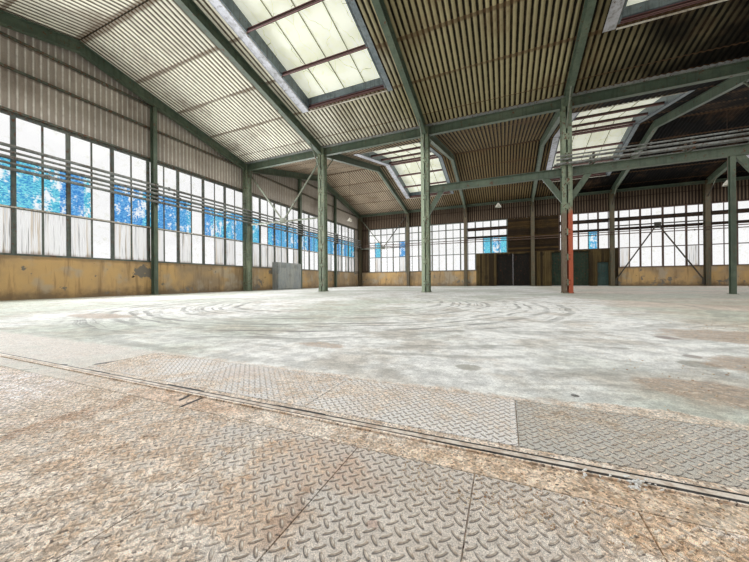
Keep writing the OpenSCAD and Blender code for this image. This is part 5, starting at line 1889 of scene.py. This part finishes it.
class HALL_OT_roof(bpy.types.Operator):
    """Lays the corrugated weather and lining sheets on both naves"""
    bl_idname = "hall.roof"
    bl_label = "Roof sheets"

    def execute(self, context):
        build_roof("front_nave", -NAVE_MIDDLE)
        build_roof("back_nave", NAVE_MIDDLE)
        return {"FINISHED"}


class HALL_OT_walls(bpy.types.Operator):
    """Hangs the corrugated sheets on the long walls and gables"""
    bl_idname = "hall.walls"
    bl_label = "Wall sheets"

    def execute(self, context):
        build_side_walls()
        build_gable_walls()
        return {"FINISHED"}


class HALL_OT_windows(bpy.types.Operator):
    """Sets panes and glazing bars in the window frames"""
    bl_idname = "hall.windows"
    bl_label = "Windows"

    def execute(self, context):
        build_panes()
        build_glazing_bars()
        build_window_rail()
        build_window_girts()
        return {"FINISHED"}


class HALL_OT_plates(bpy.types.Operator):
    """Raises the tears of the cover plates and strews grit"""
    bl_idname = "hall.plates"
    bl_label = "Plates and grit"

    def execute(self, context):
        build_tears()
        build_grit()
        return {"FINISHED"}


class HALL_OT_roof_fittings(bpy.types.Operator):
    """Adds rooflight bars, flashings, edge boards and the caps of the sheet hooks"""
    bl_idname = "hall.roof_fittings"
    bl_label = "Roof fittings"

    def execute(self, context):
        build_rooflight_trim()
        build_hook_caps()
        return {"FINISHED"}


class HALL_OT_steel_fittings(bpy.types.Operator):
    """Adds nuts, pipe flanges, valves and the pendant lamps"""
    bl_idname = "hall.steel_fittings"
    bl_label = "Steel fittings"

    def execute(self, context):
        build_bolts()
        build_pipe_fittings()
        build_lamps()
        return {"FINISHED"}


class HALL_OT_joinery(bpy.types.Operator):
    """Boards the gate wall, the gates and the part above them, and finishes the doors"""
    bl_idname = "hall.joinery"
    bl_label = "Boards and doors"

    def execute(self, context):
        build_boards()
        build_gates()
        build_gate_stops()
        build_cabinet()
        return {"FINISHED"}


class HALL_OT_stage(bpy.types.Operator):
    """Sets the pale floor, the light and the camera"""
    bl_idname = "hall.stage"
    bl_label = "Stage"

    def execute(self, context):
        build_stage()
        return {"FINISHED"}


class HALL_PT_panel(bpy.types.Panel):
    """Lists the hall's sizes and steps"""
    bl_idname = "HALL_PT_panel"
    bl_label = "Hall"
    bl_space_type = "VIEW_3D"
    bl_region_type = "UI"
    bl_category = "Hall"

    def draw(self, context):
        for name in HallSettings.__annotations__:
            self.layout.prop(context.scene.hall, name)
        for step in STEPS:
            self.layout.operator(step.bl_idname)


STEPS = (HALL_OT_stage, HALL_OT_finishes, HALL_OT_roof, HALL_OT_walls, HALL_OT_windows, HALL_OT_plates,
         HALL_OT_roof_fittings, HALL_OT_steel_fittings, HALL_OT_joinery)
CLASSES = (HallSettings,) + STEPS + (HALL_PT_panel,)


def register():
    for each in CLASSES:
        bpy.utils.register_class(each)
    bpy.types.Scene.hall = PointerProperty(type=HallSettings)


def unregister():
    del bpy.types.Scene.hall
    for each in reversed(CLASSES):
        bpy.utils.unregister_class(each)


def main():
    register()
    bpy.ops.hall.stage()
    bpy.ops.hall.finishes()
    bpy.ops.hall.roof()
    bpy.ops.hall.walls()
    bpy.ops.hall.windows()
    bpy.ops.hall.plates()
    bpy.ops.hall.roof_fittings()
    bpy.ops.hall.steel_fittings()
    bpy.ops.hall.joinery()
    pick()


if __name__ == "__main__":
    main()
